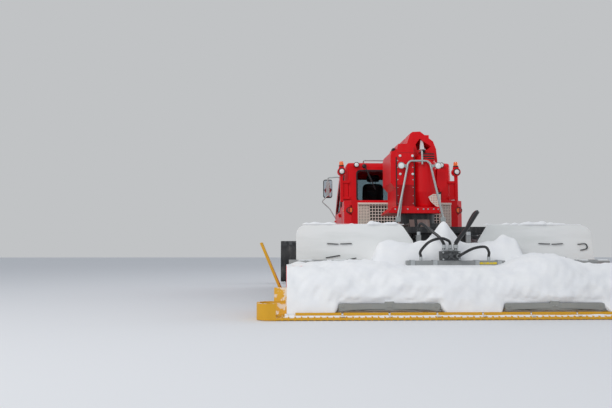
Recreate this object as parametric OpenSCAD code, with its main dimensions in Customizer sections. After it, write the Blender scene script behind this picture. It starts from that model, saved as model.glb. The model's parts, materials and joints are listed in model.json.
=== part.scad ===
/* [Tracks] */
// Shoes on each track
shoe_count = 52; // [44:2:56]
// Height of a shoe's blade over its belt
shoe_h = 100; // [70:5:120]
// Thickness of the rubber belts
belt_t = 15; // [12:1:20]
// Width of a track across its shoes
track_w = 1450; // [1300:10:1600]
// From the middle of the vehicle to a track's inner edge
track_x = 650; // [640:5:700]

/* [Running gear] */
// Radius of the road wheels over their tyres
wheel_r = 340; // [320:5:350]
// Width of a tyre
tyre_w = 240; // [180:10:280]
// Radius of the rims
rim_r = 235; // [200:5:260]
// From one road wheel to the next
wheel_pitch = 860; // [780:10:870]
// Rear road wheel behind the middle of the hull
rear_wheel_y = -1330; // [-1360:10:-1300]
// Radius of the drive sprockets
sprocket_r = 400; // [380:5:420]
// Teeth on a sprocket
tooth_count = 13; // [11:1:15]
// Sprocket axle behind the middle of the hull
sprocket_y = -2230; // [-2260:10:-2200]
// Front idler ahead of the middle of the hull
idler_y = 2120; // [2100:10:2160]
// How far the sprocket's axle is over the road wheels' axles
sprocket_rise = 165; // [140:5:180]
// How far the idler's axle is over the road wheels' axles
idler_rise = 105; // [80:5:120]

/* [Hull and deck] */
// Width of the hull between the tracks
hull_w = 1200; // [1100:10:1240]
// Underside of the hull
belly_z = 350; // [320:5:380]
// Top of the hull, over the tracks
deck_z = 1160; // [1155:5:1180]
// Rear face of the hull
hull_rear = -2600; // [-2620:10:-2590]
// Front face of the hull
hull_front = 2330; // [2310:10:2350]
// Width of the load deck
bed_w = 2300; // [2100:20:2380]
// Rear end of the load deck
bed_rear = -2750; // [-2780:10:-2700]
// Thickness of the load deck
bed_t = 40; // [30:2:50]

/* [Cab] */
// Width of the cab at its foot
cab_w = 2400; // [2340:10:2440]
// Rear wall of the cab
cab_rear = 100; // [80:5:120]
// Front of the cab at its foot
cab_front = 2220; // [2200:5:2240]
// Top of the roof
roof_z = 2750; // [2700:5:2780]
// Where the windscreen meets the roof
screen_top_y = 1640; // [1600:10:1680]
// Foot of the windscreen
screen_foot_z = 1450; // [1420:5:1480]
// Thickness of walls, roof and doors
wall = 45; // [35:1:55]
// How far each side leans in at the roof
lean_in = 95; // [60:5:120]
// Half the width of the rear window
rear_window_x = 890; // [840:5:900]
// Gap round a door, filled by its seal
door_gap = 12; // [10:1:16]
// Rear edge of the doors
door_rear = 616; // [600:2:640]
// Thickness of the panes
glass_t = 8; // [6:1:10]

/* [Engine cover] */
// Top of the cover behind the cab
cover_z = 1890; // [1860:5:1910]
// Rear face of the cover
cover_rear = -480; // [-500:5:-460]
// Half the width of the steel grille
grille_x = 950; // [920:5:970]
// From one bar of the grille to the next
grille_pitch = 60; // [50:1:80]
// Width of a bar of the grille
grille_bar = 16; // [10:1:20]

/* [Winch] */
// Slewing axis behind the middle of the hull
slew_y = -1600; // [-1620:10:-1590]
// Top of the turntable
slew_z = 1530; // [1500:5:1540]
// Top of the tall housing
winch_top = 2765; // [2740:5:2800]
// Half the depth of the housing
winch_d = 430; // [400:5:450]
// Gap between the cab's roof and the boom
boom_clear = 120; // [110:5:150]
// Depth of the boom's box
boom_h = 155; // [140:5:170]
// Boom's length ahead of the slewing axis
boom_reach = 3420; // [3300:20:3500]
// Radius of the hoop's tube
hoop_r = 19; // [15:1:24]

/* [Blade] */
// Half the width of the middle board
board_x = 1900; // [1840:10:1920]
// Width of a side wing
wing_w = 560; // [500:10:600]
// Radius of the board's curve
board_r = 800; // [760:10:840]
// Thickness of the board
board_t = 22; // [16:1:30]
// Middle height of the board
board_z = 600; // [590:5:610]
// Rear of the board at its middle height
board_y = 3870; // [3860:5:3880]
// Width of a tooth on the cutting edge
tooth_w = 50; // [40:2:60]

/* [Tiller] */
// Half the width of the hood
hood_x = 2400; // [2360:10:2420]
// Thickness of the hood's sheet
hood_t = 14; // [10:1:18]
// Radius over the cutter shaft's tines
tine_r = 215; // [190:5:230]
// Radius of the cutter shaft's drum
drum_r = 115; // [90:5:130]
// Tines in a row along each shaft
tine_rows = 22; // [16:1:26]
// Half the width of the comb
comb_x = 2560; // [2540:5:2580]
// Rear edge of the comb behind the middle of the hull
comb_rear = -4950; // [-4980:10:-4930]
// From one rib of the comb to the next
rib_pitch = 80; // [60:2:100]
// Half the width over the snow flaps
flap_x = 2250; // [2200:10:2280]
// Top of the snow flaps
flap_top = 1270; // [1240:5:1290]
// Length of a folded side finisher
finisher_l = 800; // [740:10:840]
// Lean of a folded side finisher
finisher_lean = 23; // [18:1:28]

/* [Hidden] */
$fn = 48;

// Seats, running gaps and pins
seat = 0.3;
fit = 0.3;
run_gap = 6;
gap = 6;

// Heights and centres that follow from the sizes above
wheel_z = shoe_h + belt_t + seat + wheel_r;
track_mid = track_x + track_w / 2;
bed_z = deck_z + bed_t;
edge_angle = 42;
wing_lip = 60;
blade_front = board_y + board_t + board_r - board_r * cos(edge_angle) + wing_lip;
hull_y = (-comb_rear - blade_front) / 2;

// Pivots as [y, z]: lift axes, and the two eyes of each pair of lift cylinders
blade_pivot = [2150, 420];
blade_eye_hull = [hull_front + 70, 790];
blade_eye_arm = [3000, 500];
tiller_pivot = [-2680, 560];
tiller_eye_hull = [-2660, 1080];
tiller_eye_arm = [-3120, 690];
pin_r = 24;
eye_r = 48;

red = "#c8101c";
dark = "#26282a";
steel = "#9aa09f";
yellow = "#e2a50c";

// Moves a piece from the hull's middle to the middle of the whole outline
module place() translate([0, hull_y, 0]) children();

// A piece and its mirror image on the other side
module both_sides() {
    children();
    mirror([1, 0, 0]) children();
}

// A box between two corners
module block(a, b) translate(a) cube(b - a);

// Round bars along the axes, from a point
module bar_x(p, r, l) translate(p) rotate([0, 90, 0]) cylinder(r = r, h = l);
module bar_y(p, r, l) translate(p) rotate([-90, 0, 0]) cylinder(r = r, h = l);
module bar_z(p, r, l) translate(p) cylinder(r = r, h = l);

// Stands a piece on a point and leans its z axis along a direction
module leaned(a, d) translate(a) rotate([0, acos(d[2] / norm(d)), atan2(d[1], d[0])]) children();

// A round bar from one point to another
module rod(a, b, r) leaned(a, b - a) cylinder(r = r, h = norm(b - a));

// A bent tube: straight rods with a ball at each bend, its poles inside the rods
module pipe(points, r) {
    for (i = [0:len(points) - 2]) rod(points[i], points[i + 1], r);
    for (i = [1:len(points) - 2])
        leaned(points[i], unit(points[i - 1] - points[i]) - unit(points[i + 1] - points[i])) sphere(r = r + 1);
}

// Profiles of (y, z), (x, z) and (x, y) points carried along the third axis
module along_x(points, a, b) translate([a, 0, 0]) rotate([90, 0, 90]) linear_extrude(b - a) polygon(points);
module along_y(points, a, b) translate([0, b, 0]) rotate([90, 0, 0]) linear_extrude(b - a) polygon(points);
module along_z(points, a, b) translate([0, 0, a]) linear_extrude(b - a) polygon(points);

// Corners [u, v, radius] turned into an outline with round corners
function unit(v) = v / norm(v);
function turn_in(a) = a > 180 ? a - 360 : a < -180 ? a + 360 : a;
function corner_arc(p, c, n, r, steps) =
    let (u = unit(p - c), v = unit(n - c), half = acos(u * v) / 2)
    let (mid = c + unit(u + v) * r / sin(half))
    let (a = c + u * r / tan(half) - mid, b = c + v * r / tan(half) - mid)
    let (start = atan2(a[1], a[0]), sweep = turn_in(atan2(b[1], b[0]) - start))
    [for (k = [0:steps]) mid + r * [cos(start + sweep * k / steps), sin(start + sweep * k / steps)]];
function flat(c) = [c[0], c[1]];
function rounded(corners, steps = 4) = [
    for (i = [0:len(corners) - 1])
        let (m = len(corners), c = corners[i], p = corners[(i + m - 1) % m], n = corners[(i + 1) % m])
        each c[2] > 0 ? corner_arc(flat(p), flat(c), flat(n), c[2], steps) : [flat(c)]
];

// The same corners moved in by a wall, for an outline that runs anticlockwise
function inset(corners, d) = [
    for (i = [0:len(corners) - 1])
        let (p = flat(corners[(i + len(corners) - 1) % len(corners)]), c = flat(corners[i]))
        let (e = unit(c - p), f = unit(flat(corners[(i + 1) % len(corners)]) - c))
        let (m = [-e[1], e[0]], n = [-f[1], f[0]], q = c + (m + n) * d / (1 + m * n))
        [q[0], q[1], max(corners[i][2] - d, corners[i][2] > 0 ? 4 : 0)]
];

// A track's path as a loop of wheels, each [y, z, radius under the belt]
LOOP = [
    [sprocket_y, wheel_z + sprocket_rise, sprocket_r + run_gap],
    [rear_wheel_y, wheel_z, wheel_r + seat],
    [rear_wheel_y + 3 * wheel_pitch, wheel_z, wheel_r + seat],
    [idler_y, wheel_z + idler_rise, wheel_r + run_gap]
];
function nxt(i) = (i + 1) % len(LOOP);
function prv(i) = (i + len(LOOP) - 1) % len(LOOP);
function hop(i) = [LOOP[nxt(i)][0] - LOOP[i][0], LOOP[nxt(i)][1] - LOOP[i][1]];
function slope(i) = asin((LOOP[i][2] - LOOP[nxt(i)][2]) / norm(hop(i)));
function facing(i) = atan2(hop(i)[1], hop(i)[0]) - 90 + slope(i);
function line_len(i) = norm(hop(i)) * cos(slope(i));
function wrap(i) = ((facing(i) - facing(prv(i))) % 360 + 360) % 360;
function arc_len(i) = LOOP[i][2] * wrap(i) * PI / 180;
function run_to(i) = i == 0 ? 0 : run_to(i - 1) + arc_len(i - 1) + line_len(i - 1);

// Place and facing [y, z, angle] at a length s along the belt's inner face
function on_belt(s, i = 0) =
    s < run_to(i) + arc_len(i) || i == len(LOOP) - 1 && s < run_to(i) + arc_len(i)
    ? let (a = facing(prv(i)) + (s - run_to(i)) / LOOP[i][2] * 180 / PI)
        [LOOP[i][0] + LOOP[i][2] * cos(a), LOOP[i][1] + LOOP[i][2] * sin(a), a]
    : s < run_to(i) + arc_len(i) + line_len(i) || i == len(LOOP) - 1
    ? let (a = facing(i), d = s - run_to(i) - arc_len(i))
        [LOOP[i][0] + LOOP[i][2] * cos(a) - d * sin(a), LOOP[i][1] + LOOP[i][2] * sin(a) + d * cos(a), a]
    : on_belt(s, i + 1);
belt_len = run_to(len(LOOP));

// The belt's outline at a distance outside its inner face: it lies flat under each shoe
// and bends between them, so its corners are where tangents half a pitch apart meet
LINES = [for (k = [0:2 * shoe_count - 1]) on_belt(belt_len * k / shoe_count / 2)];
function turned(k) = abs(turn_in((LINES[(k + 1) % len(LINES)][2] - LINES[k][2]) % 360)) > 0.01;
function meet(p, q, out) =
    let (m = [cos(p[2]), sin(p[2])], n = [cos(q[2]), sin(q[2])], det = m[0] * n[1] - m[1] * n[0])
    let (u = m * [p[0], p[1]] + out, v = n * [q[0], q[1]] + out)
    [(u * n[1] - v * m[1]) / det, (v * m[0] - u * n[0]) / det];
function belt_ring(out) = [
    for (k = [0:len(LINES) - 1]) if (turned(k)) meet(LINES[k], LINES[(k + 1) % len(LINES)], out)
];

// Belts across a track as [start, width] from its middle
BELTS = [[-640, 200], [-170, 340], [440, 200]];
shoe_foot = 38;
shoe_base = 14;
shoe_tip = 6;
SHOE = [
    [-shoe_foot, seat], [shoe_foot, seat], [shoe_foot, shoe_base],
    [shoe_tip, shoe_h], [-shoe_tip, shoe_h], [-shoe_foot, shoe_base]
];
module track() {
    for (b = BELTS)
        translate([b[0], 0, 0]) rotate([90, 0, 90]) linear_extrude(b[1]) difference() {
            polygon(belt_ring(belt_t));
            polygon(belt_ring(0));
        }
    for (k = [0:shoe_count - 1]) let (p = on_belt(belt_len * k / shoe_count))
        translate([0, p[0], p[1]]) rotate([p[2] - 90, 0, 0]) translate([0, 0, belt_t])
            along_x(SHOE, -track_w / 2, track_w / 2);
}
module track_left() color(dark) place() translate([-track_mid, 0, 0]) track();
module track_right() color(dark) place() translate([track_mid, 0, 0]) track();

// Wheels as [y, z, radius]: four road wheels and the idler
WHEELS = concat(
    [for (k = [0:3]) [rear_wheel_y + k * wheel_pitch, wheel_z, wheel_r]],
    [[idler_y, wheel_z + idler_rise, wheel_r]]
);
// A tyre is a flat-sided ring whose bore's flats lie on the rim
tyre_sides = 32;
function regular(r) = [
    for (k = [0:tyre_sides - 1]) let (a = 360 * k / tyre_sides) [r * cos(a), r * sin(a)]
];
module wheel_tyres() color("#1b1b1c") place() both_sides() for (w = WHEELS)
    translate([track_mid - tyre_w / 2, w[0], w[1]]) rotate([90, 0, 90]) linear_extrude(tyre_w) difference() {
        polygon(regular(w[2]));
        polygon(regular(rim_r / cos(180 / tyre_sides)));
    }
hub_r = 70;
module wheel_rims() color(steel) place() both_sides() for (w = WHEELS) {
    difference() {
        bar_x([track_mid - tyre_w / 2 + 10, w[0], w[1]], rim_r - seat, tyre_w - 20);
        bar_x([track_mid + 30, w[0], w[1]], rim_r - 22, tyre_w);
        bar_x([track_mid - tyre_w, w[0], w[1]], rim_r - 22, tyre_w - 20);
        bar_x([track_mid - tyre_w, w[0], w[1]], axle_r + seat, tyre_w + 20);
    }
    bar_x([track_mid + 20, w[0], w[1]], hub_r, 70);
}

// Trailing arms and stub axles that carry the wheels
axle_r = 45;
arm_y = 260;
arm_rise = 70;
module axle_arms() color(dark) place() both_sides() for (w = WHEELS) {
    along_x([
        [w[0] - 70, w[1] - 70], [w[0] + 70, w[1] - 70], [w[0] + 70, w[1] + 40],
        [w[0] - arm_y + 90, w[1] + arm_rise + 90], [w[0] - arm_y - 60, w[1] + arm_rise + 90],
        [w[0] - arm_y - 60, w[1] + arm_rise - 40]
    ], hull_w / 2 + 8, hull_w / 2 + 90);
    bar_x([hull_w / 2, w[0] - arm_y, w[1] + arm_rise + 20], 55, 60);
    bar_x([hull_w / 2 + 20, w[0], w[1]], axle_r, track_mid - hull_w / 2 - 20 + 10);
}

// Drive sprockets: two toothed discs on a drum, turning between the belts
sprocket_z = wheel_z + sprocket_rise;
disc_x = 310;
disc_t = 44;
tooth_tip = sprocket_r + run_gap + belt_t - 12;
tooth_root = sprocket_r - 60;
function tooth_outline() = [
    for (k = [0:tooth_count - 1]) let (a = 360 * k / tooth_count, s = 360 / tooth_count)
        for (q = [[-0.30, tooth_root], [-0.14, tooth_tip], [0.14, tooth_tip], [0.30, tooth_root]])
            [q[1] * cos(a + s * q[0]), q[1] * sin(a + s * q[0])]
];
module drive_sprockets() color("#3a3d40") place() both_sides() translate([0, sprocket_y, sprocket_z]) {
    for (x = [-disc_x, disc_x])
        translate([track_mid + x - disc_t / 2, 0, 0]) along_x_disc();
    bar_x([hull_w / 2, 0, 0], 165, track_mid - hull_w / 2 - disc_x);
    bar_x([track_mid - disc_x, 0, 0], 130, 2 * disc_x + 40);
}
module along_x_disc() rotate([90, 0, 90]) linear_extrude(disc_t) difference() {
    polygon(tooth_outline());
    for (k = [0:5]) rotate(60 * k) translate([tooth_root * 0.68, 0]) circle(r = 55);
}

// The welded hull, with the engine bay open on top and ears for both lift frames
bay_x = 430;
bay_rear = -1080;
bay_front = 30;
bay_z = 480;
arm_x = 450;
arm_t = 50;
ear_t = 34;
cyl_x = 260;
carrier_x = 360;
function blade_ear() = [
    [1980, 380], [2150, 540], [2250, 600], [blade_pivot[0] + 75, 400],
    [blade_pivot[0] + 30, 345], [blade_pivot[0] - 40, 345]
];
function eye_ear(eye, face, way) = [
    [face - way * 30, eye[1] - 75], [face - way * 30, eye[1] + 75],
    [eye[0] + way * 20, eye[1] + 46], [eye[0] + way * 46, eye[1]], [eye[0] + way * 20, eye[1] - 46]
];
module chassis_hull() color(dark) place() {
    difference() {
        along_x([
            [hull_rear, deck_z], [hull_rear, 640], [hull_rear + 230, belly_z], [1950, belly_z],
            [hull_front, 640], [hull_front, deck_z]
        ], -hull_w / 2, hull_w / 2);
        block([-bay_x, bay_rear, bay_z], [bay_x, bay_front, deck_z + 10]);
    }
    both_sides() {
        for (x = [arm_x - arm_t - gap - ear_t, arm_x + arm_t + gap]) along_x(blade_ear(), x, x + ear_t);
        bar_x([arm_x - arm_t - gap - 10, blade_pivot[0], blade_pivot[1]], pin_r, 2 * (arm_t + gap + 10));
        for (x = [cyl_x - eye_t / 2 - gap - ear_t / 2, cyl_x + eye_t / 2 + gap]) {
            along_x(eye_ear(blade_eye_hull, hull_front, 1), x, x + ear_t / 2);
            along_x(eye_ear(tiller_eye_hull, hull_rear, -1), x, x + ear_t / 2);
        }
        bar_x([cyl_x - eye_t / 2 - gap - 5, blade_eye_hull[0], blade_eye_hull[1]], pin_r, eye_t + 2 * gap + 10);
        bar_x([cyl_x - eye_t / 2 - gap - 5, tiller_eye_hull[0], tiller_eye_hull[1]], pin_r, eye_t + 2 * gap + 10);
        for (x = [carrier_x - arm_t / 2 - gap - ear_t, carrier_x + arm_t / 2 + gap])
            along_x(eye_ear(tiller_pivot, hull_rear, -1), x, x + ear_t);
        bar_x([carrier_x - arm_t / 2 - gap - 10, tiller_pivot[0], tiller_pivot[1]], pin_r, arm_t + 2 * gap + 20);
    }
    // A low step joins the rear ears to the sloping stern
    block([-450, hull_rear - 20, 500], [450, hull_rear + 160, 700]);
    // Towing hole plate at the nose
    difference() {
        block([-90, hull_front - 20, 760], [90, hull_front + 120, 810]);
        bar_z([0, hull_front + 70, 750], tow_r, 80);
    }
}
tow_r = 25;
eye_t = 60;

module engine_block() color("#555a5e") place()
    block([-400, bay_rear + 30, bay_z], [400, bay_front - 30, deck_z - 30]);

// Load deck with kerbs along its edges and a tread plate on each side of the winch
module load_deck() color(dark) place() {
    difference() {
        block([-bed_w / 2, bed_rear, deck_z], [bed_w / 2, cab_rear - 40, bed_z]);
        for (x = [-1, 1]) bar_z([x * 900, bed_rear + 180, deck_z - 10], lash_r, bed_t + 20);
        for (x = [-1, 1]) bar_z([x * 900, cover_rear - 160, deck_z - 10], lash_r, bed_t + 20);
    }
    both_sides() {
        block([bed_w / 2 - 40, bed_rear, bed_z + seat], [bed_w / 2, cover_rear - 30, bed_z + 60]);
        block([700, bed_rear + 260, bed_z - 5], [bed_w / 2 - 60, cover_rear - 260, bed_z + tread_t]);
    }
    block([-bed_w / 2 + 40 + seat, bed_rear, bed_z + seat], [bed_w / 2 - 40 - seat, bed_rear + 30, bed_z + 60]);
}
lash_r = 16;
tread_t = 4;

// Cover behind the cab: a red shell with an open rear for the grille
cover_x = 1210;
cover_t = 30;
cover_front = cab_rear - 40;
function cover_plan(d) = [
    [-cover_x + d, cover_front - d], [-cover_x + d, cover_rear + 160], [-cover_x + 130 + d / 2, cover_rear + d],
    [cover_x - 130 - d / 2, cover_rear + d], [cover_x - d, cover_rear + 160], [cover_x - d, cover_front - d]
];
module engine_cover() color(red) place() difference() {
    along_z(cover_plan(0), bed_z, cover_z);
    along_z(cover_plan(cover_t), bed_z - 10, cover_z - cover_t);
    // Seams between the lid, the bulkhead, the sides, their bent corners and the sill
    block([-cover_x - 10, cover_rear - 10, cover_z - cover_t - seat],
        [cover_x + 10, cover_front + 10, cover_z - cover_t]);
    both_sides() {
        block([grille_x, cover_rear - 10, bed_z - 10], [grille_x + seat, cover_rear + 60, cover_z - cover_t]);
        block([cover_x - 60, cover_rear + 160, bed_z - 10],
            [cover_x + 10, cover_rear + 160 + seat, cover_z - cover_t]);
        block([cover_x - cover_t - seat, cover_front - cover_t - 10, bed_z - 10],
            [cover_x - cover_t, cover_front + 10, cover_z - cover_t]);
    }
    block([-grille_x, cover_rear - 10, bed_z + 40], [grille_x, cover_rear + 60, cover_z - 50]);
    both_sides() bar_y([tail_x, cover_rear - 20, tail_z], tail_r + seat, 200);
    both_sides()
        block([cover_x - 140, cover_rear - 40, tail_z - 100], [cover_x + 10, cover_rear + 42, tail_z + 100]);
}
tail_x = 1110;
tail_z = 1690;
tail_r = 62;

// Steel grille: bars in the middle, plain sheet ends and a top ledge
mesh_x = 710;
module rear_grille() color("#c9ccc6") place() {
    low = bed_z + 40;
    high = cover_z - 50;
    translate([0, cover_rear + 18, 0]) rotate([90, 0, 0]) linear_extrude(12) difference() {
        translate([-grille_x, low]) square([2 * grille_x, high - low]);
        for (x = [-mesh_x + grille_bar / 2:grille_pitch:mesh_x - grille_pitch])
            for (z = [low + 40:grille_pitch:high - grille_pitch])
                translate([x, z]) square(grille_pitch - grille_bar);
    }
    block([-grille_x, cover_rear - 34, high - 36], [grille_x, cover_rear + 6, high]);
}

// Nose under the windscreen, with holes for the headlamps
nose_x = 1120;
NOSE_LAMPS = [[900, 1290], [700, 1290]];
nose_lamp_r = 78;
module nose_cover() color(red) place() difference() {
    along_x(rounded([
        [cab_front + seat, bed_z - 40, 0], [hull_front + 60, bed_z - 40, 30], [hull_front + 90, 1240, 40],
        [hull_front + 60, 1370, 60], [cab_front + seat, 1440, 0]
    ]), -nose_x, nose_x);
    both_sides() for (l = NOSE_LAMPS) bar_y([l[0], hull_front, l[1]], nose_lamp_r, 200);
    block([-480, hull_front + 20, 1210], [480, hull_front + 200, 1340]);
}

// The cab's outer form moved in by d: a side, a front and a plan outline meet
function cab_side(d) = rounded(inset([
    [cab_rear, bed_z, 10], [cab_front, bed_z, 50], [cab_front, screen_foot_z, 60],
    [screen_top_y, roof_z, 170], [cab_rear, roof_z, 110]
], d));
function cab_face(d) = rounded(inset([
    [-cab_w / 2, bed_z, 30], [cab_w / 2, bed_z, 30], [cab_w / 2, 1700, 60],
    [cab_w / 2 - lean_in, roof_z, 90], [-cab_w / 2 + lean_in, roof_z, 90], [-cab_w / 2, 1700, 60]
], d));
function cab_plan(d) = rounded(inset([
    [-cab_w / 2, cab_rear + 210, 60], [-cab_w / 2 + 130, cab_rear, 60], [cab_w / 2 - 130, cab_rear, 60],
    [cab_w / 2, cab_rear + 210, 60], [cab_w / 2, cab_front - 330, 90], [cab_w / 2 - 230, cab_front, 120],
    [-cab_w / 2 + 230, cab_front, 120], [-cab_w / 2, cab_front - 330, 90]
], d));
module cab_form(d) intersection() {
    along_x(cab_side(d), -cab_w, cab_w);
    along_y(cab_face(d), cab_rear - 100, cab_front + 100);
    along_z(cab_plan(d), bed_z - 10, roof_z + 10);
}

// Outlines of the openings in the cab's walls
screen_run = (cab_front - screen_top_y) / (roof_z - screen_foot_z);
function screen_y(z, back) = cab_front - back - (z - screen_foot_z) * screen_run;
function door_outline(d) = rounded(inset([
    [door_rear, bed_z + 60, 50], [cab_front - 270, bed_z + 60, 50],
    [screen_y(screen_foot_z + 60, 270), screen_foot_z + 60, 60],
    [screen_y(roof_z - 150, 270), roof_z - 150, 90],
    [door_rear, roof_z - 150, 60]
], d));
function door_window() = rounded([
    [door_rear + 100, 1740, 60], [screen_y(1740, 370), 1740, 60],
    [screen_y(roof_z - 240, 370), roof_z - 240, 70], [door_rear + 100, roof_z - 240, 60]
]);
function side_window() = rounded([
    [cab_rear + 270, 1820, 50], [door_rear - 80, 1820, 50],
    [door_rear - 80, roof_z - 220, 50], [cab_rear + 270, roof_z - 220, 50]
]);
function rear_window() = rounded([
    [-rear_window_x, cover_z + 30, 80], [rear_window_x, cover_z + 30, 80],
    [rear_window_x, roof_z - 180, 80], [-rear_window_x, roof_z - 180, 80]
]);
function windscreen() = rounded([
    [-930, screen_foot_z + 80, 90], [930, screen_foot_z + 80, 90],
    [850, roof_z - 170, 90], [-850, roof_z - 170, 90]
]);
module glazing() {
    both_sides() along_x(side_window(), cab_w / 2 - 300, cab_w / 2 + 50);
    along_y(rear_window(), cab_rear - 50, cab_rear + 80);
    along_y(windscreen(), screen_top_y - 200, cab_front + 50);
}

// Door hinges: pins on the cab's rear pillars, knuckles on the doors
hinge_x = cab_w / 2 + 24;
hinge_y = door_rear - 8;
HINGE_Z = [1360, 1620];
hinge_r = 17;
hinge_pin = 8;
hinge_h = 60;
module cab_shell() color(red) place() {
    difference() {
        cab_form(0);
        cab_form(wall);
        glazing();
        both_sides() along_x(door_outline(0), cab_w / 2 - 300, cab_w / 2 + 50);
    }
    both_sides() {
        block([480, cab_rear + 60, deck_z], [580, cab_front - 60, bed_z + 5]);
        for (z = HINGE_Z) {
            bar_z([hinge_x, hinge_y, z - 14], hinge_pin, hinge_h + 14);
            block([cab_w / 2 - 10, hinge_y - 70, z - 20], [hinge_x + 12, hinge_y + 10, z - 6]);
        }
    }
}
module cab_glass() color("#5d6b70", 0.5) place() intersection() {
    difference() {
        cab_form(wall / 2 - glass_t / 2);
        cab_form(wall / 2 + glass_t / 2);
    }
    glazing();
}
module right_door() {
    difference() {
        intersection() {
            difference() {
                cab_form(0);
                cab_form(wall);
            }
            along_x(door_outline(door_gap), cab_w / 2 - 300, cab_w / 2 + 50);
        }
        along_x(door_window(), cab_w / 2 - 300, cab_w / 2 + 50);
    }
    for (z = HINGE_Z) difference() {
        union() {
            bar_z([hinge_x, hinge_y, z], hinge_r, hinge_h);
            block([cab_w / 2 + gap, hinge_y + 4, z], [hinge_x + 4, hinge_y + 90, z + hinge_h]);
            block([cab_w / 2 - 8, door_rear + door_gap + 10, z],
                [cab_w / 2 + gap + 2, hinge_y + 90, z + hinge_h]);
        }
        bar_z([hinge_x, hinge_y, z - 5], hinge_pin + fit, hinge_h + 10);
    }
    // Outer handle
    block([cab_w / 2 - 5, cab_front - 500, 1560], [cab_w / 2 + 28, cab_front - 380, 1590]);
}
module right_door_glass() intersection() {
    difference() {
        cab_form(wall / 2 - glass_t / 2);
        cab_form(wall / 2 + glass_t / 2);
    }
    along_x(door_window(), cab_w / 2 - 300, cab_w / 2 + 50);
}
module door_right() color(red) place() right_door();
module door_left() color(red) place() mirror([1, 0, 0]) right_door();
module door_right_glass() color("#5d6b70", 0.5) place() right_door_glass();
module door_left_glass() color("#5d6b70", 0.5) place() mirror([1, 0, 0]) right_door_glass();

// Tread plates beside the sills
module door_steps() color(dark) place() both_sides() difference() {
    block([cab_w / 2, door_rear + 60, bed_z + 5], [cab_w / 2 + 230, cab_front - 340, bed_z + 35]);
    for (k = [0:5])
        translate([cab_w / 2 + 40, door_rear + 120 + k * 190, bed_z - 5]) cube([150, 100, 50]);
}

// Seats as [x]: driver on the left, passenger on the right
SEATS = [-480, 480];
seat_w = 480;
seat_y = 620;
pad_z = 1640;
floor_z = bed_z + wall;
module seat_pads() color("#2b2d30") place() for (x = SEATS) {
    along_x(rounded([
        [seat_y - 30, pad_z, 30], [seat_y + 470, pad_z, 50], [seat_y + 470, pad_z + 130, 60],
        [seat_y + 100, pad_z + 110, 30], [seat_y + 20, pad_z + 700, 40], [seat_y - 100, pad_z + 700, 40]
    ]), x - seat_w / 2, x + seat_w / 2);
    along_x(rounded([
        [seat_y - 100, pad_z + 740, 30], [seat_y + 10, pad_z + 740, 30],
        [seat_y, pad_z + 900, 40], [seat_y - 100, pad_z + 900, 40]
    ]), x - 140, x + 140);
}
module seat_bases() color(dark) place() for (x = SEATS) {
    block([x - 190, seat_y + 20, floor_z], [x + 190, seat_y + 420, floor_z + 60]);
    block([x - 120, seat_y + 80, floor_z + 60], [x + 120, seat_y + 360, pad_z - 40]);
    block([x - 210, seat_y, pad_z - 40], [x + 210, seat_y + 440, pad_z]);
    for (s = [-60, 60]) bar_z([x + s, seat_y - 45, pad_z + 700], 7, 40);
}
module cab_console() color("#303236") place() {
    along_x(rounded([
        [cab_front - 260, floor_z, 0], [cab_front - 70, floor_z, 0], [cab_front - 70, 1470, 30],
        [cab_front - 230, 1560, 50], [cab_front - 330, 1480, 40]
    ]), -780, 780);
    block([-180, 700, floor_z], [80, 1250, pad_z + 120]);
    rod([-480, cab_front - 300, 1500], [-480, cab_front - 520, 1760], 24);
    translate([-480, cab_front - 520, 1760]) rotate([40, 0, 0]) difference() {
        cylinder(r = 150, h = 26);
        translate([0, 0, -1]) cylinder(r = 126, h = 28);
    }
    translate([-480, cab_front - 520, 1760]) rotate([40, 0, 0]) block([-130, -16, -6], [130, 16, 22]);
    for (x = [-120, -40]) rod([x, 1150, pad_z + 110], [x, 1190, pad_z + 240], 16);
}

// Posts at the cab's rear corners that carry a round lamp and a beacon
post_x = cab_w / 2 + 22;
post_y = 40;
head_z = 2540;
head_r = 88;
module lamp_posts() color(red) place() both_sides() difference() {
    lamp_post();
    cab_form(0);
}
module lamp_post() {
    block([post_x - 30, post_y, bed_z + 700], [post_x + 30, post_y + 70, head_z]);
    bar_y([post_x, post_y - 30, head_z], head_r, 110);
    block([post_x - 52, post_y - 10, head_z + 60], [post_x + 52, post_y + 80, head_z + 112]);
    for (z = [bed_z + 760, 2300])
        block([cab_w / 2 - 150, post_y + 10, z], [post_x, post_y + 230, z + 50]);
    // A web closes the gap between the post and the cab
    block([cab_w / 2 - 120, post_y + 40, bed_z + 760], [post_x, post_y + 60, 2350]);
}
beacon_r = 50;
module lamp_housings() color("#1c1d1f") place() {
    both_sides() {
        difference() {
            bar_y([post_x, post_y - 48, head_z], 66, 18 - seat);
            bar_y([post_x, post_y - 58, head_z], 52, 22);
        }
        bar_z([post_x, post_y + 35, head_z + 112], beacon_r + 6, 24);
        bar_y([tail_x, cover_rear + 10, tail_z], tail_r, 60);
        difference() {
            bar_y([roof_lamp_x, cab_rear - 74, roof_z - 62], 52, 120);
            cab_form(0);
        }
        for (l = NOSE_LAMPS) bar_y([l[0], hull_front, l[1]], nose_lamp_r - seat, 40);
    }
}
roof_lamp_x = 905;
module lamp_lenses() color("#e8ecea") place() both_sides() {
    bar_y([post_x, post_y - 52, head_z], 52 - seat, 16);
    bar_y([roof_lamp_x, cab_rear - 80, roof_z - 62], 44, 6);
    for (l = NOSE_LAMPS) bar_y([l[0], hull_front + 40, l[1]], nose_lamp_r - seat, 20);
}
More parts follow.
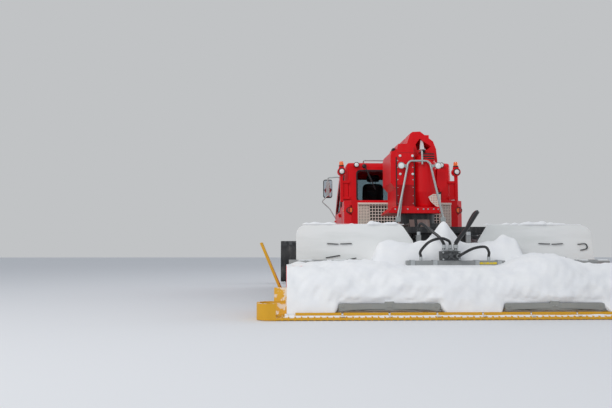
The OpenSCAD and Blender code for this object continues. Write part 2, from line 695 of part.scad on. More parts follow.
module amber_lenses() color("#f08018") place() both_sides() {
    translate([post_x, post_y + 35, head_z + 136]) rotate_extrude() polygon(rounded([
        [0, 0, 0], [beacon_r, 0, 0], [beacon_r - 4, 84, 22], [0, 90, 0]
    ]));
    intersection() {
        bar_y([tail_x, cover_rear - 8, tail_z], tail_r - 10, 18);
        block([tail_x - 100, cover_rear - 100, tail_z - 100], [tail_x - 2, cover_rear + 100, tail_z + 100]);
    }
    block([cover_x + seat, cover_rear + 180, tail_z - 30], [cover_x + 16, cover_rear + 250, tail_z + 30]);
}
module red_lenses() color("#b01010") place() both_sides() intersection() {
    bar_y([tail_x, cover_rear - 8, tail_z], tail_r - 10, 18);
    block([tail_x + 2, cover_rear - 100, tail_z - 100], [tail_x + 100, cover_rear + 100, tail_z + 100]);
}

// Mirrors ahead of the doors on bent tubes that end flush on the cab
mirror_y = 2030;
mirror_x = cab_w / 2 + 60;
mirror_w = 220;
tube_r = 13;
arm_plane = mirror_y - 18 - tube_r - 2;
module mirror_arms() color(steel) place() both_sides() difference() {
    union() {
        pipe([
            [mirror_x - 240, 1660, 2585], [mirror_x - 110, 1850, 2650], [mirror_x + 110, arm_plane, 2650],
            [mirror_x + 110, arm_plane, 2560]
        ], tube_r);
        pipe([
            [mirror_x + 110, arm_plane, 2210], [mirror_x + 240, arm_plane, 2080],
            [mirror_x + 240, arm_plane, 2060], [mirror_x + 70, arm_plane, 1900], [mirror_x - 150, arm_plane - 40, 1520]
        ], tube_r);
        block([mirror_x + 70, arm_plane - 12, 2210], [mirror_x + 150, mirror_y - 18, 2560]);
    }
    cab_form(0);
}
module mirror_heads() color("#1b1b1d") place() both_sides() along_y(rounded([
    [mirror_x, 2160, 50], [mirror_x + mirror_w, 2160, 50], [mirror_x + mirror_w, 2610, 50], [mirror_x, 2610, 50]
]), mirror_y - 18, mirror_y + 50);

// Tube along the roof's rear edge
module roof_rail() color(steel) place() {
    pipe([[-740, cab_rear + 90, roof_z + 2], [-740, cab_rear + 60, roof_z + 45],
        [740, cab_rear + 60, roof_z + 45], [740, cab_rear + 90, roof_z + 2]], 13);
}

// Winch: fixed pedestal and turntable
slew = [0, slew_y, 0];
pedestal_x = 320;
pedestal_z = 1335;
turn_r = 310;
module winch_pedestal() color("#6d5a52") place() translate(slew) {
    difference() {
        block([-pedestal_x, -800, bed_z], [pedestal_x, 800, pedestal_z]);
        both_sides() block([pedestal_x - 60, -700, bed_z + 40], [pedestal_x + 10, -120, pedestal_z - 30]);
        both_sides() block([pedestal_x - 60, 120, bed_z + 40], [pedestal_x + 10, 700, pedestal_z - 30]);
    }
    bar_z([0, 0, pedestal_z], turn_r, slew_z - pedestal_z - seat);
}

// The housing: a flared foot, a tall faceted case, a rounded drum cover and a side plate
tall_left = -555;
tall_right = -130;
drum_x = 85;
drum_cover_r = 232;
module winch_housing() color(red) place() translate(slew) {
    winch_case();
    winch_trim();
}
module winch_case() {
    along_y([
        [-585, slew_z], [330, slew_z], [345, slew_z + 20], [310, slew_z + 110],
        [-500, slew_z + 110], [-600, slew_z + 20]
    ], -winch_d, winch_d);
    along_y([
        [tall_right, slew_z + 100], [tall_right, winch_top - 8], [tall_right - 30, winch_top],
        [-412, winch_top - 5], [-437, winch_top - 105], [-538, winch_top - 150], [tall_left, winch_top - 225],
        [tall_left, winch_top - 700], [tall_left + 90, winch_top - 800], [tall_left + 90, slew_z + 100]
    ], -winch_d, winch_d - 20);
    along_y([
        [tall_right - 5, slew_z + 105], [drum_x + 215, slew_z + 105], [drum_x + 235, slew_z + 500],
        [drum_x + 275, winch_top - 400], [drum_x + 245, winch_top - 200], [tall_right - 5, winch_top - 130]
    ], -140, winch_d - 20);
    // Drum cover with domed ends
    translate([drum_x, drum_cover_r - winch_d + 5, 0]) rotate_extrude() polygon(rounded([
        [0, slew_z + 105, 0], [drum_cover_r - 70, slew_z + 105, 60], [drum_cover_r, slew_z + 380, 160],
        [drum_cover_r, winch_top - 330, 120], [drum_cover_r - 80, winch_top - 175, 90], [0, winch_top - 160, 0]
    ], 6));
}
module winch_trim() {
    // Upright seams stand out as strips on the rear face
    for (x = [-460, tall_right - 12])
        block([x, -winch_d - 8, slew_z + 110], [x + 14, -winch_d + 4, winch_top - 250]);
    // Side plate with a folded lower edge
    along_y([[285, 2040], [362, 1920], [468, 2043], [460, 2120], [422, 2325], [300, 2330]], -330, -130);
    // Sector of mesh under the cover
    along_y([[115, 1820], [157, 1735], [245, 1655], [335, 1620], [335, 1870], [200, 1870]], -400, -130);
    // Louvres on the drum cover's shoulder
    for (k = [0:2])
        block([drum_x - 60, -winch_d + 40, winch_top - 290 + k * 42],
            [drum_x + 160, -130, winch_top - 274 + k * 42]);
    // White caps over the bearing bolts
    for (x = [-385, -165]) for (z = [winch_top - 220, winch_top - 545])
        bar_y([x, -winch_d - 10, z], 22, 20);
    // Lashing knob on the shoulder
    bar_y([-452, -200, winch_top - 75], 34, 60);
}

// Boom: an arch over the drum and a tapered box that runs forward over the cab
boom_x = 60;
boom_w = 180;
boom_end_w = 95;
boom_low = roof_z + boom_clear;
boom_top = boom_low + boom_h;
module winch_boom() color(red) place() translate(slew) difference() {
    union() {
        along_y([
            [-242, winch_top - 30], [-158, boom_top - 40], [-115, boom_top - 12], [20, boom_top - 5],
            [255, boom_top - 185], [308, boom_top - 330], [326, winch_top - 270], [326, winch_top - 330],
            [210, winch_top - 330], [-110, winch_top - 240]
        ], -250, 150);
        intersection() {
            along_x([
                [0, winch_top - 150], [500, winch_top - 80], [1100, boom_low], [boom_reach - 60, boom_low],
                [boom_reach, boom_low + 40], [boom_reach, boom_low + 110], [boom_reach - 200, boom_low + 130],
                [900, boom_top], [0, boom_top - 20]
            ], boom_x - boom_w, boom_x + boom_w);
            along_z([
                [boom_x - boom_w, 0], [boom_x + boom_w, 0], [boom_x + boom_w, 600],
                [boom_x + boom_end_w, boom_reach], [boom_x - boom_end_w, boom_reach], [boom_x - boom_w, 600]
            ], winch_top - 250, boom_top + 10);
        }
    }
    winch_case();
    winch_trim();
    // Opening through the arch, over the rope's run
    along_y([
        [-65, boom_top - 240], [12, boom_top - 135], [212, boom_top - 277], [150, boom_top - 335],
        [-40, boom_top - 345]
    ], -260, 100);
}
head_y = boom_reach;
head_axis_z = boom_low + 75;
module boom_head() color(dark) place() translate(slew) {
    bar_y([boom_x, head_y + seat, head_axis_z], 62, 50);
    for (x = [boom_x - 50, boom_x + 36])
        along_x(rounded([
            [head_y + 40, head_axis_z - 60, 10], [head_y + 250, head_axis_z - 70, 60],
            [head_y + 250, head_axis_z + 70, 60], [head_y + 40, head_axis_z + 60, 10]
        ]), x, x + 14);
    bar_x([boom_x - 50, head_y + 160, head_axis_z], 18, 100);
    block([boom_x - 40, head_y + 40, head_axis_z - 55], [boom_x + 40, head_y + 62, head_axis_z + 55]);
}
module boom_sheave() color(steel) place() translate(slew) translate([boom_x, head_y + 160, head_axis_z])
    rotate([0, 90, 0]) rotate_extrude() polygon([
        [18 + fit, -26], [84, -26], [84, -20], [66, -6], [66, 6], [84, 20], [84, 26], [18 + fit, 26]
    ]);

// Galvanised hoop behind the winch, with a middle tube up to the arch
hoop_x = -60;
HALF_HOOP = [[415, -520, slew_z - 160], [212, -485, 2330], [200, -475, 2400], [150, -468, 2450]];
function hoop_side(way) = [for (p = HALF_HOOP) [hoop_x + way * p[0], p[1], p[2]]];
function hoop_path() = concat(hoop_side(-1), [for (i = [len(HALF_HOOP) - 1:-1:0]) hoop_side(1)[i]]);
module winch_hoop() color("#a9b1ae") place() translate(slew) {
    pipe(hoop_path(), hoop_r);
    pipe([[0, -468, 2390], [0, -468, 2590], [0, -430, 2640], [0, -250 - seat, 2640]], hoop_r - 3);
    rod([hoop_x - 365, -505, slew_z - 150], [hoop_x - 295, -490, 1930], 12);
    translate([hoop_x, 0, 0]) both_sides() {
        rod([375, -513, 1560], [375, -winch_d - seat, 1560], 16);
        block([190, -480, 2300], [300, -468, 2385]);
    }
    translate([hoop_x, 0, 0]) block([-400, -winch_d - 12, 1540], [-350, -winch_d - seat, 1580]);
}
module winch_lamps() color("#1c1d1f") place() translate(slew) translate([hoop_x, 0, 0]) both_sides()
    bar_y([325, -545, 2358], 58, 65 - seat);

// A ring for a lift arm or cylinder eye
module eye(x0, x1, p, r) bar_x([x0, p[0], p[1]], r, x1 - x0);

// Lift cylinders, made between the two eyes: a barrel with a true bore, and a rod
module barrel(a, b, l) {
    d = unit([0, b[0] - a[0], b[1] - a[1]]);
    p = [cyl_x, a[0], a[1]];
    difference() {
        union() {
            leaned(p, d) rotate_extrude() polygon([
                [0, 20], [rod_r + 3, 20], [rod_r + 3, neck_l], [barrel_r, neck_l], [barrel_r, l],
                [rod_r + 0.06, l], [rod_r + 0.06, neck_l + 6], [0, neck_l + 6]
            ]);
            eye(cyl_x - eye_t / 2, cyl_x + eye_t / 2, a, eye_r);
        }
        bar_x([cyl_x - eye_t / 2 - 5, a[0], a[1]], pin_r + fit, eye_t + 10);
    }
}
module piston_rod(a, b, l) {
    d = unit([0, b[0] - a[0], b[1] - a[1]]);
    p = [cyl_x, b[0], b[1]];
    difference() {
        union() {
            rod(p - d * 20, p - d * l, rod_r);
            eye(cyl_x - eye_t / 2, cyl_x + eye_t / 2, b, eye_r);
        }
        bar_x([cyl_x - eye_t / 2 - 5, b[0], b[1]], pin_r + fit, eye_t + 10);
    }
}
barrel_r = 48;
rod_r = 27;
neck_l = 78;
blade_barrel_l = 400;
blade_rod_l = norm(blade_eye_arm - blade_eye_hull) - blade_barrel_l + 90;
tiller_barrel_l = 330;
tiller_rod_l = norm(tiller_eye_arm - tiller_eye_hull) - tiller_barrel_l + 60;
module blade_barrels() color(dark) place() both_sides()
    barrel(blade_eye_hull, blade_eye_arm, blade_barrel_l);
module blade_rods() color(steel) place() both_sides()
    piston_rod(blade_eye_hull, blade_eye_arm, blade_rod_l);
module tiller_barrels() color(dark) place() both_sides()
    barrel(tiller_eye_hull, tiller_eye_arm, tiller_barrel_l);
module tiller_rods() color(steel) place() both_sides()
    piston_rod(tiller_eye_hull, tiller_eye_arm, tiller_rod_l);

// Clevis ears for a cylinder's eye, standing on an arm, with the pin's heads outside
module clevis(p, base) {
    for (x = [cyl_x - eye_t / 2 - gap - ear_t / 2, cyl_x + eye_t / 2 + gap])
        along_x([
            [p[0] - 70, base], [p[0] + 70, base],
            [p[0] + 34, p[1] + 30], [p[0], p[1] + 44], [p[0] - 34, p[1] + 30]
        ], x, x + ear_t / 2);
    for (x = [cyl_x - eye_t / 2 - gap - ear_t / 2 - 8, cyl_x + eye_t / 2 + gap + ear_t / 2])
        bar_x([x, p[0], p[1]], pin_r + 8, 8);
}

// Blade: push frame, swivel, middle board and wings
yaw_y = 3480;
yaw_z = 450;
tilt_y = 3666;
module push_frame() color(dark) place() difference() {
    union() {
        both_sides() {
            along_x([
                [blade_pivot[0], blade_pivot[1] - 48], [3330, 380], [3330, 450],
                [blade_pivot[0] + 260, 470], [blade_pivot[0], blade_pivot[1] + 48]
            ], arm_x - arm_t, arm_x + arm_t);
            eye(arm_x - arm_t, arm_x + arm_t, blade_pivot, eye_r);
            clevis(blade_eye_arm, 400);
        }
        block([-arm_x, blade_eye_arm[0] - 80, 375], [arm_x, blade_eye_arm[0] + 80, 430]);
        block([-arm_x, 3240, 380], [arm_x, 3330, 520]);
        along_z([[-200, 3320], [200, 3320], [90, 3440], [-90, 3440]], 380, 520);
        bar_z([0, yaw_y, 380], 110, 140);
    }
    bar_z([0, yaw_y, 370], pin_r + 20 + fit, 160);
    both_sides() eye(arm_x - arm_t - 5, arm_x + arm_t + 5, blade_pivot, pin_r + fit);
}
module blade_swivel() color(dark) place() {
    for (z = [374 - 34, 526]) block([-130, yaw_y - 90, z], [130, tilt_y - gap, z + 34]);
    block([-130, yaw_y + 120, 340], [130, tilt_y - gap, 560]);
    bar_z([0, yaw_y, 345], pin_r + 20, 210);
    bar_y([0, tilt_y - gap - 10, yaw_z], 60, 120);
}
function board_arc(r) = [
    for (k = [0:10]) let (a = 180 - edge_angle + 2 * edge_angle * k / 10)
        [board_y + board_t + board_r + r * cos(a), board_z + r * sin(a)]
];
function board_strip() = concat(board_arc(board_r), [for (k = [10:-1:0]) board_arc(board_r + board_t)[k]]);
edge_y = board_y + board_t + board_r - board_r * cos(edge_angle);
edge_z = board_z - board_r * sin(edge_angle);
function teeth(x0, x1) = concat(
    [[x0, edge_z + 110]],
    [for (x = [x0:tooth_w:x1 - tooth_w]) each [[x, edge_z - 20], [x + tooth_w * 0.3, edge_z - 48],
        [x + tooth_w * 0.7, edge_z - 48], [x + tooth_w, edge_z - 20]]],
    [[x1, edge_z - 20], [x1, edge_z + 110]]
);
// The toothed cutting edge, laid on the board's lower rim along its slope
module cutting_edge(x0, x1) translate([0, edge_y, edge_z]) rotate([edge_angle, 0, 0])
    translate([0, 0, -edge_z]) along_y(teeth(x0, x1), -4, board_t - 4);
wing_axis = [board_x + 35, edge_y];
WING_HINGE_Z = [215, 1060];
hinge_ring = 30;
wing_pin = 15;
module blade_board() color(red) place() {
    difference() {
        union() {
            along_x(board_strip(), -board_x, board_x);
            block([-200, tilt_y, 300], [200, board_y + 20, 640]);
        }
        bar_y([0, tilt_y - 5, yaw_z], 60 + fit, 112);
    }
    cutting_edge(-board_x, board_x);
    // Ribs and a top rail on the back
    for (x = [-1500, -1000, -500, 500, 1000, 1500]) along_x(concat(
        [for (k = [1:9]) board_arc(board_r + board_t - 4)[k]], [[board_y - 60, 420], [board_y - 60, 780]]
    ), x - 10, x + 10);
    block([-board_x, board_y - 60, board_z - 60], [board_x, board_y + 12, board_z + 60]);
    both_sides() for (z = WING_HINGE_Z) {
        along_z([
            [board_x - 120, edge_y - 110], [board_x - 10, edge_y - 110], [wing_axis[0] + 20, edge_y - 24],
            [wing_axis[0] + 20, edge_y + 20], [board_x - 120, edge_y + 20]
        ], z - 26, z - gap);
        bar_z([wing_axis[0], wing_axis[1], z - 20], wing_pin, 70);
    }
}
module right_wing() difference() {
    union() {
        intersection() {
            along_x(board_strip(), board_x, board_x + wing_w + 60);
            along_z([
                [wing_axis[0] + 12, edge_y + 40], [wing_axis[0] + 100, board_y - 20],
                [board_x + wing_w + 60, board_y - 20], [board_x + wing_w + 60, edge_y + 40]
            ], 0, 1300);
        }
        cutting_edge(board_x + 60, board_x + wing_w + 50);
        along_x(concat(
            [for (k = [0:10]) board_arc(board_r + board_t)[k]],
            [[edge_y + 20, edge_z], [edge_y + wing_lip, 500], [edge_y + 20, 1130]]
        ), board_x + wing_w + 40, board_x + wing_w + 60);
        for (z = WING_HINGE_Z) {
            bar_z([wing_axis[0], wing_axis[1], z], hinge_ring, 44);
            translate(wing_axis) along_z([[0, -20], [60, -110], [150, -110], [150, 16], [0, 16]], z, z + 44);
        }
    }
    for (z = WING_HINGE_Z) bar_z([wing_axis[0], wing_axis[1], z - 5], wing_pin + fit, 60);
}
module blade_wing_right() color(red) place() right_wing();
module blade_wing_left() color(red) place() mirror([1, 0, 0]) right_wing();

// Tiller: carrier on the hull, swinging frame, hood, shafts and comb
swing_y = -3300;
module tiller_carrier() color(dark) place() difference() {
    union() {
        both_sides() {
            along_x([
                [tiller_pivot[0], tiller_pivot[1] - 46], [-3200, 540], [-3200, 620],
                [tiller_pivot[0], tiller_pivot[1] + 46]
            ], carrier_x - arm_t / 2, carrier_x + arm_t / 2);
            eye(carrier_x - arm_t / 2, carrier_x + arm_t / 2, tiller_pivot, eye_r);
            clevis(tiller_eye_arm, 600);
        }
        bar_w = carrier_x + arm_t / 2;
        block([-bar_w, tiller_eye_arm[0] - 80, 545], [bar_w, tiller_eye_arm[0] + 80, 615]);
        along_z([[-220, -3180], [220, -3180], [100, -3240], [-100, -3240]], 530, 670);
        bar_z([0, swing_y, 530], 100, 140);
    }
    bar_z([0, swing_y, 520], pin_r + 20 + fit, 160);
    both_sides() eye(carrier_x - arm_t / 2 - 5, carrier_x + arm_t / 2 + 5, tiller_pivot, pin_r + fit);
}

// Frame behind the swing pin: fork, spine, cross tubes and a bulkhead for the hoses
beam_y = -3980;
bulkhead_z = 1100;
hood_top = 654;
module tiller_frame() color(steel) place() {
    for (z = [524 - 34, 676]) block([-120, swing_y - 160, z], [120, swing_y + 90, z + 34]);
    block([-120, swing_y - 260, 490], [120, swing_y - 112, 710]);
    bar_z([0, swing_y, 495], pin_r + 20, 210);
    block([-90, beam_y - 60, hood_top], [90, swing_y - 250, 710]);
    block([-700, beam_y - 55, hood_top], [700, beam_y + 55, hood_top + 74]);
    bar_x([-hood_x + 40, -3720, hood_top + 38], 46, 2 * hood_x - 80);
    block([-450, swing_y - 280, 640], [360, swing_y - 220, 700]);
    for (x = [-450, 300]) block([x, swing_y - 280, 690], [x + 60, swing_y - 220, bulkhead_z]);
    for (x = [-1900, -900, 900, 1900])
        block([x - 12, -3790, hood_top], [x + 12, -3650, hood_top + 30]);
}
rotor_y = -4000;
rotor_z = 345;
HOOD = [[-3610, 300], [-3630, 520], [-3760, hood_top], [-4230, hood_top], [-4380, 540], [-4470, 270]];
function hood_inner() = [for (i = [len(HOOD) - 1:-1:0]) HOOD[i] + hood_t * unit([rotor_y, 260] - HOOD[i])];
module tiller_hood() color(red) place() {
    along_x(concat(HOOD, hood_inner()), -hood_x, hood_x);
    both_sides() {
        difference() {
            along_x(concat(HOOD, [[-4200, 180], [-3800, 180]]), hood_x - hood_t, hood_x);
            bar_x([hood_x - 50, rotor_y, rotor_z], 40 + fit, 100);
        }
        for (z = [220]) bar_y([finisher_axis[0], -4320, finisher_axis[1]], 12, 440);
        for (y = [-4330, -3900])
            block([hood_x - 5, y, finisher_axis[1] - 22],
                [finisher_axis[0] + 10, y + 20, finisher_axis[1] + 22]);
    }
    // Gearbox housing between the two shafts
    difference() {
        along_x(concat(HOOD, [[-4200, 180], [-3800, 180]]), -30, 30);
        bar_x([-60, rotor_y, rotor_z], 40 + fit, 120);
    }
}
finisher_axis = [hood_x + 26, 240];

// Cutter shafts with tines set along a helix
tine_w = 22;
module half_rotor() {
    bar_x([36, 0, 0], drum_r, hood_x - hood_t - 44);
    bar_x([3, 0, 0], 40, hood_x - 8);
    for (k = [0:tine_rows - 1]) for (h = [0:2])
        translate([90 + k * (hood_x - 220) / (tine_rows - 1), 0, 0]) rotate([k * 17 + h * 120, 0, 0])
            along_x([
                [-30, drum_r - 12], [30, drum_r - 12], [24, tine_r - 20], [8, tine_r], [-14, tine_r]
            ], -tine_w / 2, tine_w / 2);
}
module rotor_right() color("#70767a") place() translate([0, rotor_y, rotor_z]) half_rotor();
module rotor_left() color("#70767a") place() translate([0, rotor_y, rotor_z]) mirror([1, 0, 0]) half_rotor();

// Comb: a sheet that trails on the snow with ribs on its rear edge and turned-up ends
comb_t = 22;
rib_z = 70;
comb_knee = -4640;
comb_knee_z = 58;
lap_z = 380;
function on_hood(z, i) =
    let (a = HOOD[i], b = HOOD[i + 1])
    a[0] + (z - a[1]) * (b[0] - a[0]) / (b[1] - a[1]);
function hood_back(z) = on_hood(z, 4);
function comb_side() = [
    [hood_back(lap_z) - seat, lap_z], [hood_back(lap_z) - comb_t, lap_z], [comb_knee, comb_knee_z],
    [comb_rear, 34], [comb_rear, 6], [comb_knee + 20, 26], [hood_back(290) - seat, 290]
];
function comb_face(z) = comb_knee
    + (z - comb_knee_z) * (hood_back(lap_z) - comb_t - comb_knee) / (lap_z - comb_knee_z);
module comb_mat() color(yellow) place() {
    along_x(comb_side(), -comb_x, comb_x);
    for (x = [-comb_x + 20:rib_pitch:comb_x - 20])
        along_x([[-4700, 0], [-4700, rib_z], [comb_rear, 48], [comb_rear, 0]], x, x + 16);
    both_sides() along_z(rounded([
        [comb_x - 30, comb_rear, 0], [comb_x + 215, comb_rear, 170], [comb_x + 215, -4530, 120],
        [comb_x - 150, -4530, 0], [comb_x - 150, -4570, 0], [comb_x + 180, -4570, 100],
        [comb_x + 180, comb_rear + 40, 135], [comb_x - 30, comb_rear + 40, 0]
    ]), 4, 210);
}

// Bars with leaf springs that press the comb down
bar_mid = 1077;
module press_bars() color("#8b918d") place() both_sides() {
    block([bar_mid - 640, -4730, 90], [bar_mid + 640, -4700, 190]);
    along_x([[-4732, 170], [-4732, 215], [comb_face(215) - seat, 215], [comb_face(170) - seat, 170]],
        bar_mid - 60, bar_mid + 60);
    along_y([
        [bar_mid - 900, rib_z + seat], [bar_mid - 860, rib_z + seat], [bar_mid - 500, 120],
        [bar_mid + 500, 120], [bar_mid + 860, rib_z + seat], [bar_mid + 900, rib_z + seat],
        [bar_mid + 900, rib_z + 12],
        [bar_mid + 500, 136], [bar_mid - 500, 136], [bar_mid - 900, rib_z + 12]
    ], -4730, -4690);
}

// Flaps that shield the tiller from the snow thrown by the tracks
flap_t = 16;
function hood_brow(z) = on_hood(z, 1);
flap_in = 490;
flap_low = 560;
module snow_flaps() color("#dfe4de") place() both_sides() {
    intersection() {
        along_x([
            [-3640, flap_low], [-3560, 700], [-3500, 900], [-3460, flap_top], [-3460 + flap_t, flap_top],
            [-3500 + flap_t, 900], [-3560 + flap_t, 690], [-3640 + flap_t, flap_low - 6]
        ], flap_in, flap_x);
        along_y(rounded([
            [flap_in, flap_low - 10, 0], [flap_x, flap_low - 10, 0], [flap_x, flap_top - 20, 140],
            [flap_in + 170, flap_top, 120], [flap_in, flap_top - 260, 60]
        ]), -3800, -3300);
    }
    for (x = [flap_in + 160, flap_x - 260]) along_x([
        [hood_brow(540) + seat, 540], [-3590, 540], [-3480, 880], [-3444, 1040], [-3456, 1040], [-3492, 885],
        [-3620, 600], [hood_brow(600) + seat, 600]
    ], x, x + 40);
}

// Valve block with its fittings
module hydraulic_block() color("#4b4f50") place() {
    block([-200, beam_y - 60, hood_top + 74], [60, beam_y + 120, 860]);
    for (x = [-150, -60, 20]) bar_z([x, beam_y + 30, 860], 26, 40);
    for (x = [-150, 10]) bar_y([x, beam_y - 100, 790], 30, 50);
    for (k = [0:4])
        translate([-80, beam_y - 62, 800]) rotate([0, 72 * k, 0]) block([-10, -28, 0], [10, 4, 64]);
}

// Hydraulic hoses as [radius, points from the valve block to the bulkhead or the beam]:
// each end runs straight out of its fitting
fitting_z = 900 + seat;
lead = 60;
bulk_y = swing_y - 250;
HOSES = [
    [22, [
        [-150, beam_y + 30, fitting_z], [-150, beam_y + 30, fitting_z + lead], [-200, -3900, 1060],
        [-320, -3780, 1180], [-400, -3640, 1270], [-420, bulk_y, bulkhead_z + lead + 60],
        [-420, bulk_y, bulkhead_z + lead], [-420, bulk_y, bulkhead_z + seat]
    ]],
    [30, [
        [20, beam_y + 30, fitting_z], [20, beam_y + 30, fitting_z + lead], [80, -3910, 1040],
        [210, -3850, 1180], [370, -3760, 1380], [430, -3690, 1440], [400, -3610, 1400],
        [330, bulk_y, bulkhead_z + lead + 80], [330, bulk_y, bulkhead_z + lead],
        [330, bulk_y, bulkhead_z + seat]
    ]],
    [20, [
        [-60, beam_y + 30, fitting_z], [-60, beam_y + 30, fitting_z + lead], [-100, -4000, 1010],
        [-220, -4040, 1040], [-380, -4030, 990], [-490, -3970, hood_top + 76 + lead + 70],
        [-490, -3970, hood_top + 76 + lead], [-490, -3970, hood_top + 76]
    ]],
    [20, [
        [10, beam_y - 100 - seat, 790], [10, beam_y - 100 - lead, 790], [60, -4190, 830], [220, -4150, 900],
        [400, -4080, 920], [482, -3995, hood_top + 76 + lead + 60], [482, -3985, hood_top + 76 + lead],
        [482, -3985, hood_top + 76]
    ]]
];
hose_sides = 8;
function hose_dir(p, i) = unit(p[min(i + 1, len(p) - 1)] - p[max(i - 1, 0)]);
function hose_ring(c, d, r) =
    let (u = unit(cross(d, [0.31, 0.2, 0.93])), v = cross(d, u))
    [for (k = [0:hose_sides - 1]) c + r * (u * cos(360 * k / hose_sides) + v * sin(360 * k / hose_sides))];
module hose(p, r) {
    n = len(p);
    polyhedron(
        points = [for (i = [0:n - 1]) each hose_ring(p[i], hose_dir(p, i), r)],
        faces = concat(
            [[for (k = [hose_sides - 1:-1:0]) k]],
            [for (i = [0:n - 2]) for (k = [0:hose_sides - 1]) let (m = (k + 1) % hose_sides)
                [i * hose_sides + k, i * hose_sides + m, (i + 1) * hose_sides + m, (i + 1) * hose_sides + k]],
            [[for (k = [0:hose_sides - 1]) (n - 1) * hose_sides + k]]
        )
    );
}
// A smooth path through chosen points, with its first and last stretch left straight
function smooth(p, steps) = [
    p[0],
    for (i = [1:len(p) - 3]) for (k = [0:steps - 1])
        let (t = k / steps, a = p[i - 1], b = p[i], c = p[i + 1], d = p[i + 2])
        0.5 * ((2 * b) + (c - a) * t + (2 * a - 5 * b + 4 * c - d) * t * t
            + (3 * b - a - 3 * c + d) * t * t * t),
    p[len(p) - 2], p[len(p) - 1]
];
module tiller_hoses() color("#17181a") place() for (h = HOSES) hose(smooth(h[1], 3), h[0]);

// Side finishers: ribbed leaves folded up on the hood's ends
leaf_t = 18;
module right_finisher() translate([finisher_axis[0], 0, finisher_axis[1]]) rotate([0, finisher_lean, 0]) {
    difference() {
        union() {
            bar_y([0, -4300, 0], 24, 390);
            block([-leaf_t / 2, -4300, 10], [leaf_t / 2, -3910, finisher_l]);
        }
        bar_y([0, -4320, 0], 12 + fit, 440);
    }
    for (k = [0:9]) block([0, -4296 + k * 42, 60], [leaf_t / 2 + 14, -4288 + k * 42, finisher_l]);
}
module finisher_right() color(yellow) place() right_finisher();
module finisher_left() color(yellow) place() mirror([1, 0, 0]) right_finisher();

chassis_hull();
engine_block();
axle_arms();
wheel_tyres();
wheel_rims();
drive_sprockets();
track_left();
track_right();
load_deck();
engine_cover();
rear_grille();
nose_cover();
cab_shell();
cab_glass();
door_steps();
seat_pads();
seat_bases();
cab_console();
lamp_posts();
lamp_housings();
lamp_lenses();
amber_lenses();
red_lenses();
mirror_arms();
mirror_heads();
roof_rail();
door_left();
door_left_glass();
door_right();
door_right_glass();
winch_pedestal();
winch_housing();
winch_boom();
winch_hoop();
winch_lamps();
boom_head();
boom_sheave();
push_frame();
blade_swivel();
blade_board();
blade_wing_left();
blade_wing_right();
blade_barrels();
blade_rods();
tiller_carrier();
tiller_barrels();
tiller_rods();
tiller_frame();
tiller_hood();
snow_flaps();
comb_mat();
press_bars();
hydraulic_block();
tiller_hoses();
rotor_left();
rotor_right();
finisher_left();
finisher_right();
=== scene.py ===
import json
import math

import bmesh
import bpy
import numpy as np
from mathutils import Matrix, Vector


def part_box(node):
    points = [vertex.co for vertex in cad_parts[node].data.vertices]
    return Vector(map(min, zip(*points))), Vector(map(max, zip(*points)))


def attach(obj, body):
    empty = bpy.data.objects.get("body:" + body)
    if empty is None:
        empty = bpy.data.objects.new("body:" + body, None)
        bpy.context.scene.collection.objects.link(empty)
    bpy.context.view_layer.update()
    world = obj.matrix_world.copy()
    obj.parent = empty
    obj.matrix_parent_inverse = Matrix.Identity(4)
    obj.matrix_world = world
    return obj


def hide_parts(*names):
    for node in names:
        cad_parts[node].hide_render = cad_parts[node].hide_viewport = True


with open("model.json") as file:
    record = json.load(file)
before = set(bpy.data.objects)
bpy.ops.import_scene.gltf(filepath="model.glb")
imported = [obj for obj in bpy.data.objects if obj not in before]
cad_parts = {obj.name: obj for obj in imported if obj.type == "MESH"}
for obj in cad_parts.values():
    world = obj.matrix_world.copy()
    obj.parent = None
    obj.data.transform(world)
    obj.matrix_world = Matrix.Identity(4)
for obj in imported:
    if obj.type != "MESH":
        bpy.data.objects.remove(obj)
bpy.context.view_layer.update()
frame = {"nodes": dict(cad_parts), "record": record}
record = frame["record"]
BODY = {n: b for b, nodes in record["behaviour"]["bodies"].items() for n in nodes}

# Every piece below is given in metres from the middle of the hull, as on a maker's drawing.
# The comb's rear edge lies COMB_END behind that middle, which gives the middle's place in the frame.
COMB_END = 4.95
HULL_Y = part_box("comb_mat")[0].y + COMB_END


# The floor, the sky and the camera. The floor is a plain pale sheet, the light is an even grey sky
# with one large soft lamp high on the left, and the camera stands low behind the left track.
class Value:
    """An output of a node that works in sums: each sign adds one Math node."""

    def __init__(self, finish, socket):
        self.finish, self.socket = finish, socket

    def calc(self, operation, other):
        return self.finish.node("ShaderNodeMath", {"operation": operation}, {0: self, 1: other})

    def __add__(self, other):
        return self.calc("ADD", other)

    def __mul__(self, other):
        return self.calc("MULTIPLY", other)

    def __rsub__(self, number):
        return (self * -1) + number

    def __gt__(self, other):
        return self.calc("GREATER_THAN", other)

    __rmul__ = __mul__


